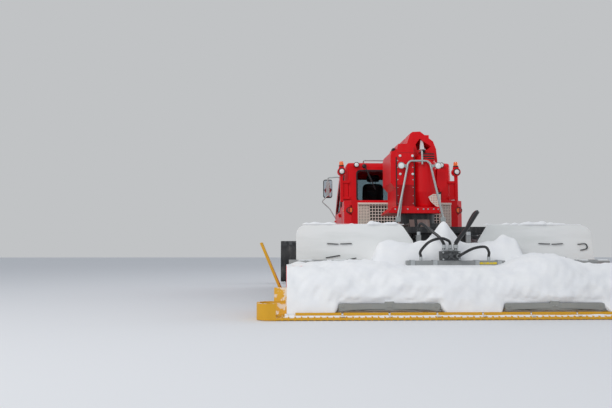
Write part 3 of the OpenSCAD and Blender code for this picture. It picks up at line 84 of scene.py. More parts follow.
class Finish:
    """A material and the nodes that it is built from."""

    def __init__(self, name, world=False):
        self.data = bpy.data.worlds.new(name) if world else bpy.data.materials.new(name)
        self.data.use_nodes = True
        self.tree = self.data.node_tree
        kind = "BACKGROUND" if world else "BSDF_PRINCIPLED"
        self.shader = next(n for n in self.tree.nodes if n.type == kind)

    def put(self, socket, value):
        """Links a Value to a socket, or sets the socket to a number, vector or colour."""
        if isinstance(value, Value):
            self.tree.links.new(value.socket, socket)
        elif hasattr(value, "__len__") and len(socket.default_value) == 4 and len(value) == 3:
            socket.default_value = (*value, 1.0)
        else:
            socket.default_value = value

    def node(self, kind, settings=None, sockets=None, out=0):
        """One node: its settings first, then its sockets, and the output that is wanted."""
        made = self.tree.nodes.new(kind)
        for key, value in (settings or {}).items():
            setattr(made, key, value)
        for key, value in (sockets or {}).items():
            self.put(made.inputs[key], value)
        return Value(self, made.outputs[out])

    def at(self, stretch=(1, 1, 1)):
        """Place on the piece in metres, stretched along the axes."""
        here = self.node("ShaderNodeTexCoord", out="Object")
        return self.node("ShaderNodeMapping", {}, {"Vector": here, "Scale": stretch})

    def facing(self, axis):
        """How far the surface faces along an axis, from -1 to 1."""
        normal = self.node("ShaderNodeTexCoord", out="Normal")
        return self.node("ShaderNodeSeparateXYZ", {}, {0: normal}, out=axis)

    def noise(self, scale, detail, stretch=(1, 1, 1)):
        """Even clouds from 0 to 1, of a size of about 1 / scale metres."""
        sockets = {"Vector": self.at(stretch), "Scale": scale, "Detail": detail}
        return self.node("ShaderNodeTexNoise", {}, sockets)

    def rise(self, value, low, high):
        """A smooth step of a value from 0 at low to 1 at high."""
        settings = {"interpolation_type": "SMOOTHSTEP"}
        return self.node("ShaderNodeMapRange", settings, {0: value, 1: low, 2: high})

    def mix(self, share, one, other):
        """A colour between two."""
        sockets = {0: share, 6: one, 7: other}
        return self.node("ShaderNodeMix", {"data_type": "RGBA"}, sockets, out=2)

    def relief(self, height, depth):
        """Bumps the surface by a height of 0 to 1 that is depth metres deep."""
        bump = self.node("ShaderNodeBump", {}, {"Height": height, "Distance": depth, "Strength": 1.0})
        self.put(self.shader.inputs["Normal"], bump)

    def set(self, **sockets):
        """Sets the shader's sockets, with base_color for Base Color."""
        for key, value in sockets.items():
            self.put(self.shader.inputs[key.replace("_", " ").title().replace("Ior", "IOR")], value)
        return self


def placed(name, data):
    """A new object of the scene."""
    made = bpy.data.objects.new(name, data)
    bpy.context.scene.collection.objects.link(made)
    return made


def aimed(name, kind, place, target, **settings):
    """A lamp or camera at a place, with its view towards a target."""
    data = bpy.data.cameras.new(name) if kind == "CAMERA" else bpy.data.lights.new(name, kind)
    for key, value in settings.items():
        setattr(data, key, value)
    made = placed(name, data)
    made.location = place
    away = np.array(target, float) - np.array(place, float)
    turn = math.atan2(-away[0], away[1])
    rise = math.atan2(away[2], math.hypot(away[0], away[1]))
    made.rotation_euler = (math.pi / 2 + rise, 0, turn)
    return made


# Fitted to the photograph: a 35 mm lens, 0.85 m over the snow, turned 2.1 degrees to the right
EYE = np.array([-2.43, -12.39 + HULL_Y, 0.85])
EYE_TURN = math.radians(2.1)
EYE_RISE = math.radians(4.6)
ahead = np.array([math.sin(EYE_TURN), math.cos(EYE_TURN), math.tan(EYE_RISE)])
camera = aimed("camera", "CAMERA", EYE, EYE + ahead, lens=35.0, sensor_width=36.0, clip_end=300.0)
bpy.context.scene.camera = camera
bpy.context.scene.view_settings.view_transform = "Standard"

sky = Finish("sky", world=True)
bpy.context.scene.world = sky.data
seen = sky.node("ShaderNodeLightPath", out="Is Camera Ray")
sky.put(sky.shader.inputs["Color"], sky.mix(seen, (0.78, 0.82, 0.88), (0.86, 0.88, 0.90)))
sky.put(sky.shader.inputs["Strength"], 0.62)
aimed("soft_lamp", "AREA", (-9, -12, 11), (0, -1, 1), energy=900, size=9, color=(1.0, 0.985, 0.96))
aimed("fill_lamp", "AREA", (10, 6, 8), (0, 0, 1), energy=420, size=8, color=(0.95, 0.97, 1.0))

bpy.ops.mesh.primitive_grid_add(x_subdivisions=2, y_subdivisions=2, size=160, location=(0, 0, -0.002))
floor = bpy.context.object
floor.name = "floor"
floor.data.materials.append(Finish("pale_floor").set(base_color=(0.80, 0.81, 0.83), roughness=0.9).data)


# What all the painted, rolled and moulded pieces share: a solid of the frame with its edges eased.
# Sheet metal and castings have a small radius at every edge, which catches the light.
def flat_groups(work):
    """Groups of faces in one plane, each grown so that its rim never meets itself."""
    free, groups = set(work.faces), []
    for seed in work.faces:
        if seed not in free:
            continue
        free.discard(seed)
        group, corners, rim = {seed}, set(seed.verts), list(seed.edges)
        while rim:
            for face in rim.pop().link_faces:
                if face not in free or face.normal.dot(seed.normal) < 0.99995:
                    continue
                shared = [e for e in face.edges if any(f in group for f in e.link_faces)]
                touched = {v for e in shared for v in e.verts}
                meets = any(v in corners and v not in touched for v in face.verts)
                if meets or len(shared) == len(face.edges):
                    continue
                free.discard(face)
                group.add(face)
                corners.update(face.verts)
                rim.extend(face.edges)
        if len(group) > 1:
            groups.append(list(group))
    return groups


CRISP = math.radians(35)  # an edge that turns by more than this is an edge, not part of a round


def softened(node, finish, width, segments=2):
    """A copy of a node's mesh, its flat faces joined and its edges rounded by a width (0: left sharp)."""
    source = frame["nodes"][node]
    work = bmesh.new()
    work.from_mesh(source.data)
    bmesh.ops.remove_doubles(work, verts=work.verts, dist=0.00004)
    for group in flat_groups(work):
        bmesh.ops.dissolve_faces(work, faces=group)
    mesh = bpy.data.meshes.new(node + "_eased")
    work.to_mesh(mesh)
    work.free()
    mesh.materials.append(finish.data)
    mesh.shade_smooth()
    made = placed(node + "_eased", mesh)
    if width:
        bevel = made.modifiers.new("ease", "BEVEL")
        bevel.width, bevel.segments, bevel.limit_method = width, segments, "ANGLE"
        bevel.angle_limit = CRISP
        bevel.use_clamp_overlap = True
        bevel.miter_outer = "MITER_ARC"
    even = made.modifiers.new("even", "WEIGHTED_NORMAL")
    even.keep_sharp = True
    if not width:
        mesh.set_sharp_from_angle(angle=CRISP)
    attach(made, BODY[node])
    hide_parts(node)
    return made


def enamel(name, colour, roughness, coat, dust, snow=0.0, dirt=(0.30, 0.29, 0.27), shine=0.5):
    """Paint with thin streaks of dirt, a fine peel in the gloss and snow caught on top."""
    paint = Finish(name)
    cloud = paint.noise(1.1, 4)
    streak = paint.noise(9, 4, (1, 1, 0.16))
    fleck = paint.noise(70, 3)
    grime = paint.rise(streak + 0.35 * fleck, 0.62, 0.95) * dust
    shade = paint.mix(paint.rise(cloud, 0.3, 0.75), tuple(0.86 * c for c in colour), colour)
    shade = paint.mix(grime, shade, dirt)
    up = paint.rise(paint.facing("Z"), 0.45, 0.9)
    patch = paint.rise(paint.noise(7, 5) + 0.3 * fleck, 0.60, 0.68)
    white = up * patch * snow
    paint.set(base_color=paint.mix(white, shade, (0.88, 0.90, 0.92)))
    paint.set(roughness=grime * 0.4 + white * 0.35 + roughness, coat_weight=coat, coat_roughness=0.12,
              specular_ior_level=shine)
    paint.relief(fleck + white * 6, 0.0006)
    return paint


# The tracks. Each is three rubber belts in one loop with 52 aluminium shoes bolted across them.
# A shoe is a drawn section with a hard blade along its top, notched to bite into ice.
SIDES = ((-1, "left"), (1, "right"))
SHOES, SHOE_TALL, SHOE_FOOT, BELT, TRACK_X, TRACK_W = 52, 0.100, 0.038, 0.015, 1.375, 1.45
BELTS = np.array([(-0.64, -0.44), (-0.17, 0.17), (0.44, 0.64)])
WHEEL_Y, WHEEL_STEP, AXLE_Z, IDLER = -1.33, 0.86, 0.4553, (2.12, 0.5603)
# Wheels that the belt runs round: place along, height, radius under the belt
LOOP = np.array([(-2.23, 0.6203, 0.406), (WHEEL_Y, AXLE_Z, 0.3403),
                 (WHEEL_Y + 3 * WHEEL_STEP, AXLE_Z, 0.3403), (*IDLER, 0.346)])
hop = np.roll(LOOP, -1, 0) - LOOP
span = np.hypot(hop[:, 0], hop[:, 1])
lean = np.arcsin(-hop[:, 2] / span)
outward = np.arctan2(hop[:, 1], hop[:, 0]) - math.pi / 2 + lean
straight = span * np.cos(lean)
bend = LOOP[:, 2] * ((outward - np.roll(outward, 1)) % (2 * math.pi))
begins = np.concatenate([[0], np.cumsum(bend + straight)])


def on_belt(length):
    """Places and outward angles at lengths along the belt: an arc on each wheel, then its tangent."""
    length = np.asarray(length) % begins[-1]
    i = np.searchsorted(begins, length, side="right") - 1
    along = length - begins[i]
    on_wheel = along < bend[i]
    angle = np.where(on_wheel, np.roll(outward, 1)[i] + along / LOOP[i, 2], outward[i])
    past = np.where(on_wheel, 0, along - bend[i])
    out, way = np.stack([np.cos(angle), np.sin(angle)], -1), np.stack([-np.sin(angle), np.cos(angle)], -1)
    return LOOP[i, :2] + LOOP[i, 2, None] * out + past[:, None] * way, out, way


def grid_faces(rows, cols, round_rows=False, round_cols=False):
    """Quads between neighbours on a grid of points, joined where the grid closes on itself."""
    r = np.arange(rows if round_rows else rows - 1)[:, None]
    c = np.arange(cols if round_cols else cols - 1)[None, :]
    r2, c2 = (r + 1) % rows, (c + 1) % cols
    return np.stack([r * cols + c, r * cols + c2, r2 * cols + c2, r2 * cols + c], -1).reshape(-1, 4)


def tube_faces(rows, cols):
    """A grid that closes round its columns, with a flat face at each end."""
    last = (rows - 1) * cols
    ends = [list(range(cols))[::-1], list(range(last, last + cols))]
    return grid_faces(rows, cols, round_cols=True).tolist() + ends


def many(points, faces):
    """The same faces on each of many equal sets of points, as one part."""
    count, size = points.shape[0], points.shape[1]
    shifted = [[[i + k * size for i in face] for face in faces] for k in range(count)]
    return points.reshape(-1, 3), [face for one in shifted for face in one]


def piece(name, parts, finish, like=None, replaces=None, slot=None, crisp=CRISP):
    """Joins parts of (points, faces) into one mesh, on the body of the node that it is like."""
    like = like or replaces
    points, faces, start = [], [], 0
    for p, f in parts:
        p = np.asarray(p, float).reshape(-1, 3)
        points.append(p)
        faces += [[int(i) + start for i in face] for face in f]
        start += len(p)
    points = np.concatenate(points) + (0, HULL_Y, 0)
    mesh = bpy.data.meshes.new(name)
    mesh.from_pydata(points.tolist(), [], faces)
    work = bmesh.new()
    work.from_mesh(mesh)
    bmesh.ops.remove_doubles(work, verts=work.verts, dist=0.00002)
    bmesh.ops.recalc_face_normals(work, faces=work.faces)
    work.to_mesh(mesh)
    work.free()
    mesh.materials.append(finish.data)
    mesh.shade_smooth()
    mesh.set_sharp_from_angle(angle=crisp)
    made = placed(name, mesh)
    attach(made, BODY[like])
    if replaces:
        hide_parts(replaces)
    return made


def unit(v):
    """v / |v|."""
    return v / np.linalg.norm(v, axis=-1)[..., None]


def hex_heads(places, normals, radius, tall):
    """Bolt heads: a washer ring and a hexagon stood on each place along its normal."""
    places, normals = np.asarray(places, float), np.asarray(normals, float)
    normals = np.broadcast_to(normals, places.shape)
    side = unit(np.cross(normals, np.where(np.abs(normals[:, :1]) < 0.8, [[1.0, 0, 0]], [[0, 1.0, 0]])))
    up = np.cross(normals, side)
    turn = np.arange(6) * math.pi / 3
    head = np.concatenate([
        np.stack([np.cos(turn) * r, np.sin(turn) * r, np.full(6, h)], -1)
        for r, h in ((1.5 * radius, -0.1 * tall), (1.5 * radius, 0.25 * tall), (radius, 0.3 * tall),
                     (radius, 0.85 * tall), (0.8 * radius, tall))
    ])
    points = (places[:, None] + head[None, :, :1] * side[:, None] + head[None, :, 1:2] * up[:, None]
              + head[None, :, 2:] * normals[:, None])
    return many(points, tube_faces(5, 6))


def belt_corners(out):
    """Corners of a loop that lies flat under each shoe: where tangents half a pitch apart meet."""
    place, normal, _ = on_belt(begins[-1] * np.arange(2 * SHOES) / SHOES / 2)
    ahead, ahead_normal = np.roll(place, -1, 0), np.roll(normal, -1, 0)
    det = normal[:, 0] * ahead_normal[:, 1] - normal[:, 1] * ahead_normal[:, 0]
    u = (normal * place).sum(1) + out
    v = (ahead_normal * ahead).sum(1) + out
    bends = np.abs(det) > 1e-4
    det = np.where(bends, det, 1)
    x, y = u * ahead_normal[:, 1] - v * normal[:, 1], v * normal[:, 0] - u * ahead_normal[:, 0]
    return (np.stack([x, y], -1) / det[:, None])[bends]


def belt_part(x0, x1):
    """A flat belt: a rectangle with eased corners carried round the loop."""
    section = [(x0 + 0.003, 0), (x1 - 0.003, 0), (x1, 0.003), (x1, BELT - 0.003), (x1 - 0.003, BELT),
               (x0 + 0.003, BELT), (x0, BELT - 0.003), (x0, 0.003)]
    points = np.stack([np.insert(belt_corners(v), 0, u, 1) for u, v in section], 1)
    return points.reshape(-1, 3), grid_faces(points.shape[0], len(section), True, True)


rubber = Finish("belt_rubber")
grain = rubber.noise(160, 2)
snow_in = rubber.rise(rubber.noise(11, 4) + 0.25 * grain, 0.66, 0.74)
rubber.set(base_color=rubber.mix(snow_in * 0.35, (0.016, 0.016, 0.017), (0.70, 0.72, 0.75)),
           roughness=snow_in * 0.2 + 0.62)
rubber.relief(grain, 0.0008)

shoe_metal = Finish("shoe_metal")
scuff = shoe_metal.noise(26, 5, (1, 3, 3))
packed = shoe_metal.rise(shoe_metal.noise(8, 5) + 0.2 * scuff, 0.60, 0.70)
shoe_metal.set(
    base_color=shoe_metal.mix(packed * 0.45, shoe_metal.mix(scuff, (0.30, 0.31, 0.32), (0.52, 0.53, 0.54)),
                              (0.80, 0.82, 0.85)),
    metallic=0.85 - 0.5 * packed, roughness=scuff * 0.25 + 0.3)
shoe_metal.relief(scuff, 0.0005)

# A shoe's section as (along the belt, out from it); its last two points on top are cut by the notches
section = np.array([(-SHOE_FOOT, 0.0003), (SHOE_FOOT, 0.0003), (SHOE_FOOT, 0.008), (0.016, 0.013),
                    (0.0075, 0.028), (0.006, SHOE_TALL - 0.002), (0.004, SHOE_TALL), (-0.004, SHOE_TALL),
                    (-0.006, SHOE_TALL - 0.002), (-0.0075, 0.028), (-0.016, 0.013), (-SHOE_FOOT, 0.008)])
TOOTH, NOTCH, NOTCH_DEEP = 0.112, 0.020, 0.013
tooth_at = np.arange(-TRACK_W / 2, TRACK_W / 2 - 0.05, TOOTH + NOTCH)
station = (tooth_at[:, None] + np.array([0, TOOTH, TOOTH + 0.004, TOOTH + NOTCH - 0.004])).ravel()
station = station[station < TRACK_W / 2 - 0.01].tolist() + [TRACK_W / 2]
cut = np.tile([0, 0, 1, 1], len(tooth_at))[:len(station)]
cut[-1] = 0
centre, out, way = on_belt(begins[-1] * np.arange(SHOES) / SHOES)
tall = np.minimum(section[None, :, 1], SHOE_TALL - NOTCH_DEEP * cut[:, None])
# Guide horns under each shoe as (across, along the belt, out from it)
horn = np.array([(u, v) for v, w in ((-0.001, 0.030), (-0.05, 0.018), (-0.058, 0.010)) for u in (-w, w)])
horn_at = np.array([(x + d, u, v) for x in (-0.145, 0.145) for u, v in horn for d in (-0.006, 0.006)])
horn_order = [0, 1, 3, 2, 4, 5, 7, 6, 8, 9, 11, 10]
for side, hand in SIDES:
    name = "track_" + hand
    flat_yz = (centre[:, None, None] + way[:, None, None] * section[None, None, :, :1]
               + out[:, None, None] * (BELT + tall)[None, :, :, None])
    x = np.broadcast_to(side * TRACK_X + np.array(station)[None, :, None, None], (*flat_yz.shape[:3], 1))
    shoes = np.concatenate([x, flat_yz], -1).reshape(SHOES, -1, 3)
    bolt_x = side * TRACK_X + np.concatenate([BELTS[:, 0] + 0.045, BELTS[:, 1] - 0.045])
    heads = np.stack(np.meshgrid(bolt_x, (-0.027, 0.027), indexing="ij"), -1).reshape(-1, 2)
    bolt_yz = (centre[:, None] + way[:, None] * heads[None, :, 1:] + out[:, None] * (BELT + 0.0095))
    bolt_at = np.concatenate([np.broadcast_to(heads[None, :, :1], (SHOES, len(heads), 1)), bolt_yz], -1)
    bolt_out = np.broadcast_to(np.insert(out, 0, 0, 1)[:, None], bolt_at.shape)
    horns = np.concatenate([
        np.broadcast_to(side * TRACK_X + horn_at[None, :, :1], (SHOES, len(horn_at), 1)),
        centre[:, None] + way[:, None] * horn_at[None, :, 1:2] + out[:, None] * horn_at[None, :, 2:],
    ], -1).reshape(SHOES * 2, 12, 3)
    piece(name + "_belts", [belt_part(side * TRACK_X + a, side * TRACK_X + b) for a, b in BELTS],
          rubber, replaces=name, crisp=math.radians(20))
    piece(name + "_shoes", [many(shoes, tube_faces(len(station), len(section))),
                            many(horns[:, horn_order], tube_faces(3, 4)),
                            hex_heads(bolt_at.reshape(-1, 3), bolt_out.reshape(-1, 3), 0.009, 0.009)],
          shoe_metal, like=name)


# The road wheels: solid rubber tyres on pressed steel rims, five to a side with the idler in front.
# The rim is a drum with a dished web, held to the hub by a ring of bolts.
def revolved(profile, centre, steps, axis=0):
    """A closed profile of (along, r) turned round an axis through a centre: along, r cos a, r sin a."""
    profile, turn = np.asarray(profile, float), np.arange(steps) * 2 * math.pi / steps
    along = np.broadcast_to(profile[None, :, 0], (steps, len(profile)))
    u, v = profile[None, :, 1] * np.cos(turn)[:, None], profile[None, :, 1] * np.sin(turn)[:, None]
    order = {0: (along, u, v), 1: (v, along, u), 2: (u, v, along)}[axis]
    points = np.stack(order, -1) + np.asarray(centre, float)
    return points.reshape(-1, 3), grid_faces(steps, len(profile), True, True)


def arc(centre, radius, start, end, steps=5):
    """Points c + r (cos a, sin a) on an arc from one angle to another, in degrees."""
    turn = np.radians(np.linspace(start, end, steps))
    return np.asarray(centre) + radius * np.stack([np.cos(turn), np.sin(turn)], -1)


def bolt_ring(side, out, y, z, radius, count):
    """Bolt heads on a wheel's face, out from the track's middle, at y + r cos a and z + r sin a."""
    turn = np.arange(count) * 2 * math.pi / count
    places = [np.full(count, side * (TRACK_X + out)), y + radius * np.cos(turn), z + radius * np.sin(turn)]
    return hex_heads(np.stack(places, -1), (side, 0, 0), 0.012, 0.012)


TYRE_W, RIM_R, WHEEL_R = 0.24, 0.235, 0.340
WHEELS = [(WHEEL_Y + WHEEL_STEP * k, AXLE_Z) for k in range(4)] + [IDLER]
shoulder, half = 0.035, TYRE_W / 2
tread = [(-half * 0.55, WHEEL_R), (-half * 0.5, WHEEL_R - 0.007), (-half * 0.42, WHEEL_R - 0.007),
         (-half * 0.37, WHEEL_R), (half * 0.37, WHEEL_R), (half * 0.42, WHEEL_R - 0.007),
         (half * 0.5, WHEEL_R - 0.007), (half * 0.55, WHEEL_R)]
tyre_section = np.concatenate([
    [(-half + 0.008, RIM_R), (-half, RIM_R + 0.012)],
    arc((-half + shoulder, WHEEL_R - shoulder), shoulder, 180, 90), tread,
    arc((half - shoulder, WHEEL_R - shoulder), shoulder, 90, 0),
    [(half, RIM_R + 0.012), (half - 0.008, RIM_R)],
])
tyre_rubber = Finish("tyre_rubber")
dusty = tyre_rubber.noise(14, 4)
tyre_rubber.set(base_color=tyre_rubber.mix(tyre_rubber.rise(dusty, 0.5, 0.75) * 0.5, (0.018, 0.018, 0.019),
                                           (0.30, 0.30, 0.30)), roughness=dusty * 0.2 + 0.6)
tyre_rubber.relief(tyre_rubber.noise(220, 2), 0.0005)
rim_paint = enamel("rim_enamel", (0.42, 0.43, 0.44), roughness=0.4, coat=0.2, dust=0.45)
rim_section = np.array([(-0.11, 0.2347), (-0.11, 0.213), (-0.02, 0.208), (0.012, 0.19), (0.02, 0.075),
                        (-0.03, 0.070), (-0.03, 0.046), (0.09, 0.046), (0.09, 0.062), (0.082, 0.070),
                        (0.042, 0.075), (0.034, 0.195), (0.03, 0.213), (0.11, 0.213), (0.11, 0.2347)])
hub_cap = np.array([(0.085, 0.0), (0.085, 0.058), (0.104, 0.050), (0.11, 0.035), (0.112, 0.0)])
tyres, rims = [], []
for side in (-1, 1):
    for y, z in WHEELS:
        hub = (side * TRACK_X, y, z)
        tyres.append(revolved(tyre_section, hub, 56))
        rims.append(revolved(rim_section * (side, 1), hub, 48))
        rims.append(bolt_ring(side, 0.038, y, z, 0.115, 8))
        rims.append(revolved(hub_cap * (side, 1), hub, 24))
piece("wheel_tyres_dressed", tyres, tyre_rubber, replaces="wheel_tyres", crisp=math.radians(28))
piece("wheel_rims_dressed", rims, rim_paint, replaces="wheel_rims", crisp=math.radians(28))


# The drive sprockets: toothed plastic discs on a steel drum. Each is held by a ring of bolts
# on its outer face.
def mottled(name, scale, detail, colours, rough, depth, metallic=0.0, stretch=(1, 1, 1)):
    """Plastic or metal whose colour, roughness (low, rise) and bumps all follow one noise."""
    made = Finish(name)
    cloud = made.noise(scale, detail, stretch)
    roughness = cloud * rough[1] + rough[0] if rough[1] else rough[0]
    made.set(base_color=made.mix(cloud, *colours), roughness=roughness, metallic=metallic)
    made.relief(cloud, depth)
    return made


sprocket = mottled("sprocket_plastic", 30, 4, ((0.03, 0.031, 0.033), (0.075, 0.077, 0.08)), (0.4, 0.3),
                   0.0006)
softened("drive_sprockets", sprocket, 0.004)
SPROCKET_Y, SPROCKET_Z = LOOP[0, :2]
for side, name in SIDES:
    piece("sprocket_bolts_" + name, [bolt_ring(side, 0.333, SPROCKET_Y, SPROCKET_Z, 0.155, 12)],
          rim_paint, like="drive_sprockets")

# The hull, the wheels' arms and the load deck: black enamel over welded plate steel.
# The hull is bolted up from plates, with rows of heads along its flanks and the deck's rim.
black = enamel("black_enamel", (0.017, 0.018, 0.020), roughness=0.42, coat=0.1, dust=0.3, snow=0.35)
for node in ("chassis_hull", "axle_arms", "load_deck"):
    softened(node, black, 0.004)
HULL_X, RIM_X, DECK_TOP = 0.601, 1.13, 1.2605
zinc = mottled("zinc", 40, 3, ((0.50, 0.52, 0.52), (0.68, 0.70, 0.70)), (0.28, 0.25), 0.0003, metallic=0.85)


def bolted(name, parts, like):
    """Zinc-plated bolts and fittings on a node."""
    return piece(name, parts, zinc, like=like, slot="galvanised")


for side, name in SIDES:
    flank = side * HULL_X
    flanges = np.concatenate([np.linspace((flank, -2.4, 1.10), (flank, 2.2, 1.10), 24),
                              np.linspace((flank, -2.2, 0.42), (flank, 1.9, 0.42), 20)])
    rim = np.linspace((side * RIM_X, -2.68, DECK_TOP), (side * RIM_X, -0.56, DECK_TOP), 12)
    bolted("hull_bolts_" + name, [hex_heads(flanges, (side, 0, 0), 0.011, 0.010),
                                  hex_heads(rim, (0, 0, 1), 0.008, 0.007)], "chassis_hull")
engine_paint = enamel("engine_grey", (0.16, 0.17, 0.18), roughness=0.5, coat=0.0, dust=0.5)
softened("engine_block", engine_paint, 0.01)

# The red cover behind the cab, pressed from sheet, with the round tail lamps in its corners
# and a pale steel guard over the radiator, its colour lightened further as painted light: square mesh
# in the middle, fine holes at both ends.
red = enamel("red_enamel", (0.88, 0.004, 0.010), roughness=0.36, coat=0.10, dust=0.03, shine=0.2)
softened("engine_cover", red, 0.012)
softened("nose_cover", red, 0.012)


def inset(outline, distance):
    """An outline moved inwards: each corner by d (n1 + n2) / (1 + n1 n2), from its sides' normals."""
    edge = unit(np.roll(outline, -1, 0) - outline)
    normal = np.stack([edge[:, 1], -edge[:, 0]], -1)
    before = np.roll(normal, 1, 0)
    return outline - (normal + before) / (1 + (normal * before).sum(1))[:, None] * distance


def levelled(rings, axis, across):
    """The points of rings (outline, level), each outline square to an axis at its level."""
    flat = np.stack([np.insert(ring, 2, level, 1) for ring, level in rings], across)
    return flat[..., {"x": [2, 0, 1], "y": [0, 2, 1], "z": [0, 1, 2]}[axis]].reshape(-1, 3)


def slab(outline, axis, low, high, ease):
    """An outline carried along an axis from low to high, its rims eased by an inset of ease."""
    outline = np.asarray(outline, float)
    u, v = outline.T
    inner = inset(outline, ease * np.sign((u * np.roll(v, -1) - v * np.roll(u, -1)).sum()))
    rings = [(inner, low), (outline, low + ease), (outline, high - ease), (inner, high)]
    return levelled(rings, axis, 0), tube_faces(4, len(outline))


def oblong(u0, u1, v0, v1, radius=0.0, steps=5):
    """A rectangle with round corners, anticlockwise."""
    if not radius:
        return np.array([(u0, v0), (u1, v0), (u1, v1), (u0, v1)], float)
    return np.concatenate([
        arc((u, v), radius, start, start + 90, steps)
        for u, v, start in ((u1 - radius, v0 + radius, -90), (u1 - radius, v1 - radius, 0),
                            (u0 + radius, v1 - radius, 90), (u0 + radius, v0 + radius, 180))
    ])


def sunk(outline, wall, axis, low, high):
    """A frame: an outline with the same outline cut out of it at a wall's distance inside."""
    outline = np.asarray(outline, float)
    inner = inset(outline, wall)
    rings = [(outline, low), (outline, high), (inner, high), (inner, low)]
    return levelled(rings, axis, 1), grid_faces(len(outline), 4, True, True)


BRUSHED = (1, 1, 0.1)
# Both steels of the guard are pale and warm, and are lightened past the bare steel's own colour to look lit:
# painted light
guard_steel_painted_light = mottled("guard_steel_painted_light", 60, 4, ((0.82, 0.74, 0.64), (0.94, 0.88, 0.79)), (0.4, 0.2), 0.0003,
                      stretch=BRUSHED)
holed_steel_painted_light = Finish("holed_steel_painted_light")
HOLE_PITCH, HOLE_R = 0.031, 0.0078


def vector(operation, *sockets, out=0):
    """One vector sum among the holed steel's nodes."""
    return holed_steel_painted_light.node("ShaderNodeVectorMath", {"operation": operation}, dict(enumerate(sockets)), out)


snapped = vector("SNAP", holed_steel_painted_light.at(), (HOLE_PITCH, 10.0, HOLE_PITCH))
inside = vector("SUBTRACT", holed_steel_painted_light.at(), snapped)
centred = vector("SUBTRACT", inside, (HOLE_PITCH / 2, 0, HOLE_PITCH / 2))
reach = vector("LENGTH", vector("MULTIPLY", centred, (1, 0, 1)), out="Value")
sheen = holed_steel_painted_light.noise(60, 4, BRUSHED)
holed_steel_painted_light.set(base_color=holed_steel_painted_light.mix(sheen, (0.84, 0.74, 0.62), (0.95, 0.88, 0.77)), roughness=0.45,
                alpha=reach > HOLE_R)
GRILLE_X, MESH_X, GRILLE_Y, GRILLE_LOW, GRILLE_HIGH, BAR = 0.95, 0.71, -0.4745, 1.24, 1.84, 0.016
bars = []
for x in np.arange(-MESH_X, MESH_X + 0.01, 2 * MESH_X / 24):
    bars.append(slab(oblong(x - BAR / 2, x + BAR / 2, GRILLE_LOW, GRILLE_HIGH), "y",
                     GRILLE_Y + 0.002, GRILLE_Y + 0.006, 0.001))
for z in np.arange(GRILLE_LOW + 0.008, GRILLE_HIGH, 0.0592):
    bars.append(slab(oblong(-MESH_X, MESH_X, z - BAR / 2, z + BAR / 2), "y",
                     GRILLE_Y + 0.0055, GRILLE_Y + 0.0095, 0.001))
ledge = [(-0.514, 1.804), (-0.510, 1.800), (-0.478, 1.804), (-0.474, 1.836), (-0.478, 1.840), (-0.510, 1.840)]
bars.append(slab(ledge, "x", -GRILLE_X, GRILLE_X, 0.002))
border = oblong(-GRILLE_X, GRILLE_X, GRILLE_LOW, GRILLE_HIGH, 0.01)
bars.append(sunk(border, 0.022, "y", GRILLE_Y - 0.004, GRILLE_Y + 0.010))
rivet_z = np.linspace(GRILLE_LOW + 0.02, GRILLE_HIGH - 0.06, 5)
rivets = [(x, GRILLE_Y - 0.004, z) for x in (-0.94, -0.70, 0.70, 0.94) for z in rivet_z]
bars.append(hex_heads(rivets, (0, -1, 0), 0.006, 0.006))
piece("grille_mesh", bars, guard_steel_painted_light, replaces="rear_grille")
ends = [slab(oblong(*x, GRILLE_LOW + 0.01, GRILLE_HIGH - 0.01), "y", GRILLE_Y, GRILLE_Y + 0.002, 0.0005)
        for x in ((-GRILLE_X + 0.005, -MESH_X), (MESH_X, GRILLE_X - 0.005))]
piece("grille_ends", ends, holed_steel_painted_light, like="rear_grille")
core = Finish("radiator_core")
fins = core.node("ShaderNodeTexWave", {"bands_direction": "X"},
                 {"Vector": core.at(), "Scale": 60.0, "Distortion": 0.0})
core.set(base_color=core.mix(fins, (0.006, 0.006, 0.007), (0.035, 0.035, 0.037)), roughness=0.6)
core.relief(fins, 0.003)
piece("radiator_core", [slab(oblong(-0.93, 0.93, 1.23, 1.85), "y", -0.43, -0.40, 0.004)], core,
      like="engine_cover", slot="engine_iron")

# The cab: a welded steel cell with two doors, bonded panes in black rubber, and a work lamp row.
# Its rear window looks on to the winch and has a wiper hung from a motor at its upper left.
softened("cab_shell", red, 0.010)
softened("door_left", red, 0.008)
softened("door_right", red, 0.008)
pane = Finish("cab_pane").set(base_color=(0.42, 0.50, 0.52), roughness=0.02, transmission_weight=1.0,
                              ior=1.05)
for node in ("cab_glass", "door_left_glass", "door_right_glass"):
    frame["nodes"][node].data.materials[0] = pane.data


def carried(path, profile, ref, closed=False):
    """A profile of (u, v) points square to a path: p + u a + v b, with a level and b upright to ref."""
    path, profile = np.asarray(path, float), np.asarray(profile, float)
    way = unit(np.roll(path, -1, 0) - np.roll(path, 1, 0) if closed else np.gradient(path, axis=0))
    a = unit(np.cross(way, np.asarray(ref, float)))
    b = np.cross(way, a)
    points = path[:, None] + profile[None, :, :1] * a[:, None] + profile[None, :, 1:] * b[:, None]
    size = len(path), len(profile)
    return points.reshape(-1, 3), grid_faces(*size, True, True) if closed else tube_faces(*size)


def ring(radius, sides=12):
    """A round profile r (cos a, sin a)."""
    turn = np.arange(sides) * 2 * math.pi / sides
    return radius * np.stack([np.cos(turn), np.sin(turn)], -1)


def bent(before, here, after, reach, steps=6):
    """Curves (1 - s)^2 p + 2 s (1 - s) c + s^2 q round corners c, from reach before each to reach after."""
    s = np.linspace(0, 1, steps)[None, :, None]
    start, end = here + unit(before - here) * reach, here + unit(after - here) * reach
    curves = (1 - s) ** 2 * start[:, None] + 2 * s * (1 - s) * here[:, None] + s ** 2 * end[:, None]
    return curves.reshape(-1, here.shape[1])


def eased(corners, radius, steps=6):
    """A line through corners that turns each inner one on a curve that starts radius before it."""
    corners = np.asarray(corners, float)
    gap = np.linalg.norm(np.diff(corners, axis=0), axis=1)
    reach = np.minimum(radius, 0.48 * np.minimum(gap[:-1], gap[1:]))[:, None]
    return np.concatenate([corners[:1], bent(corners[:-2], corners[1:-1], corners[2:], reach, steps),
                           corners[-1:]])


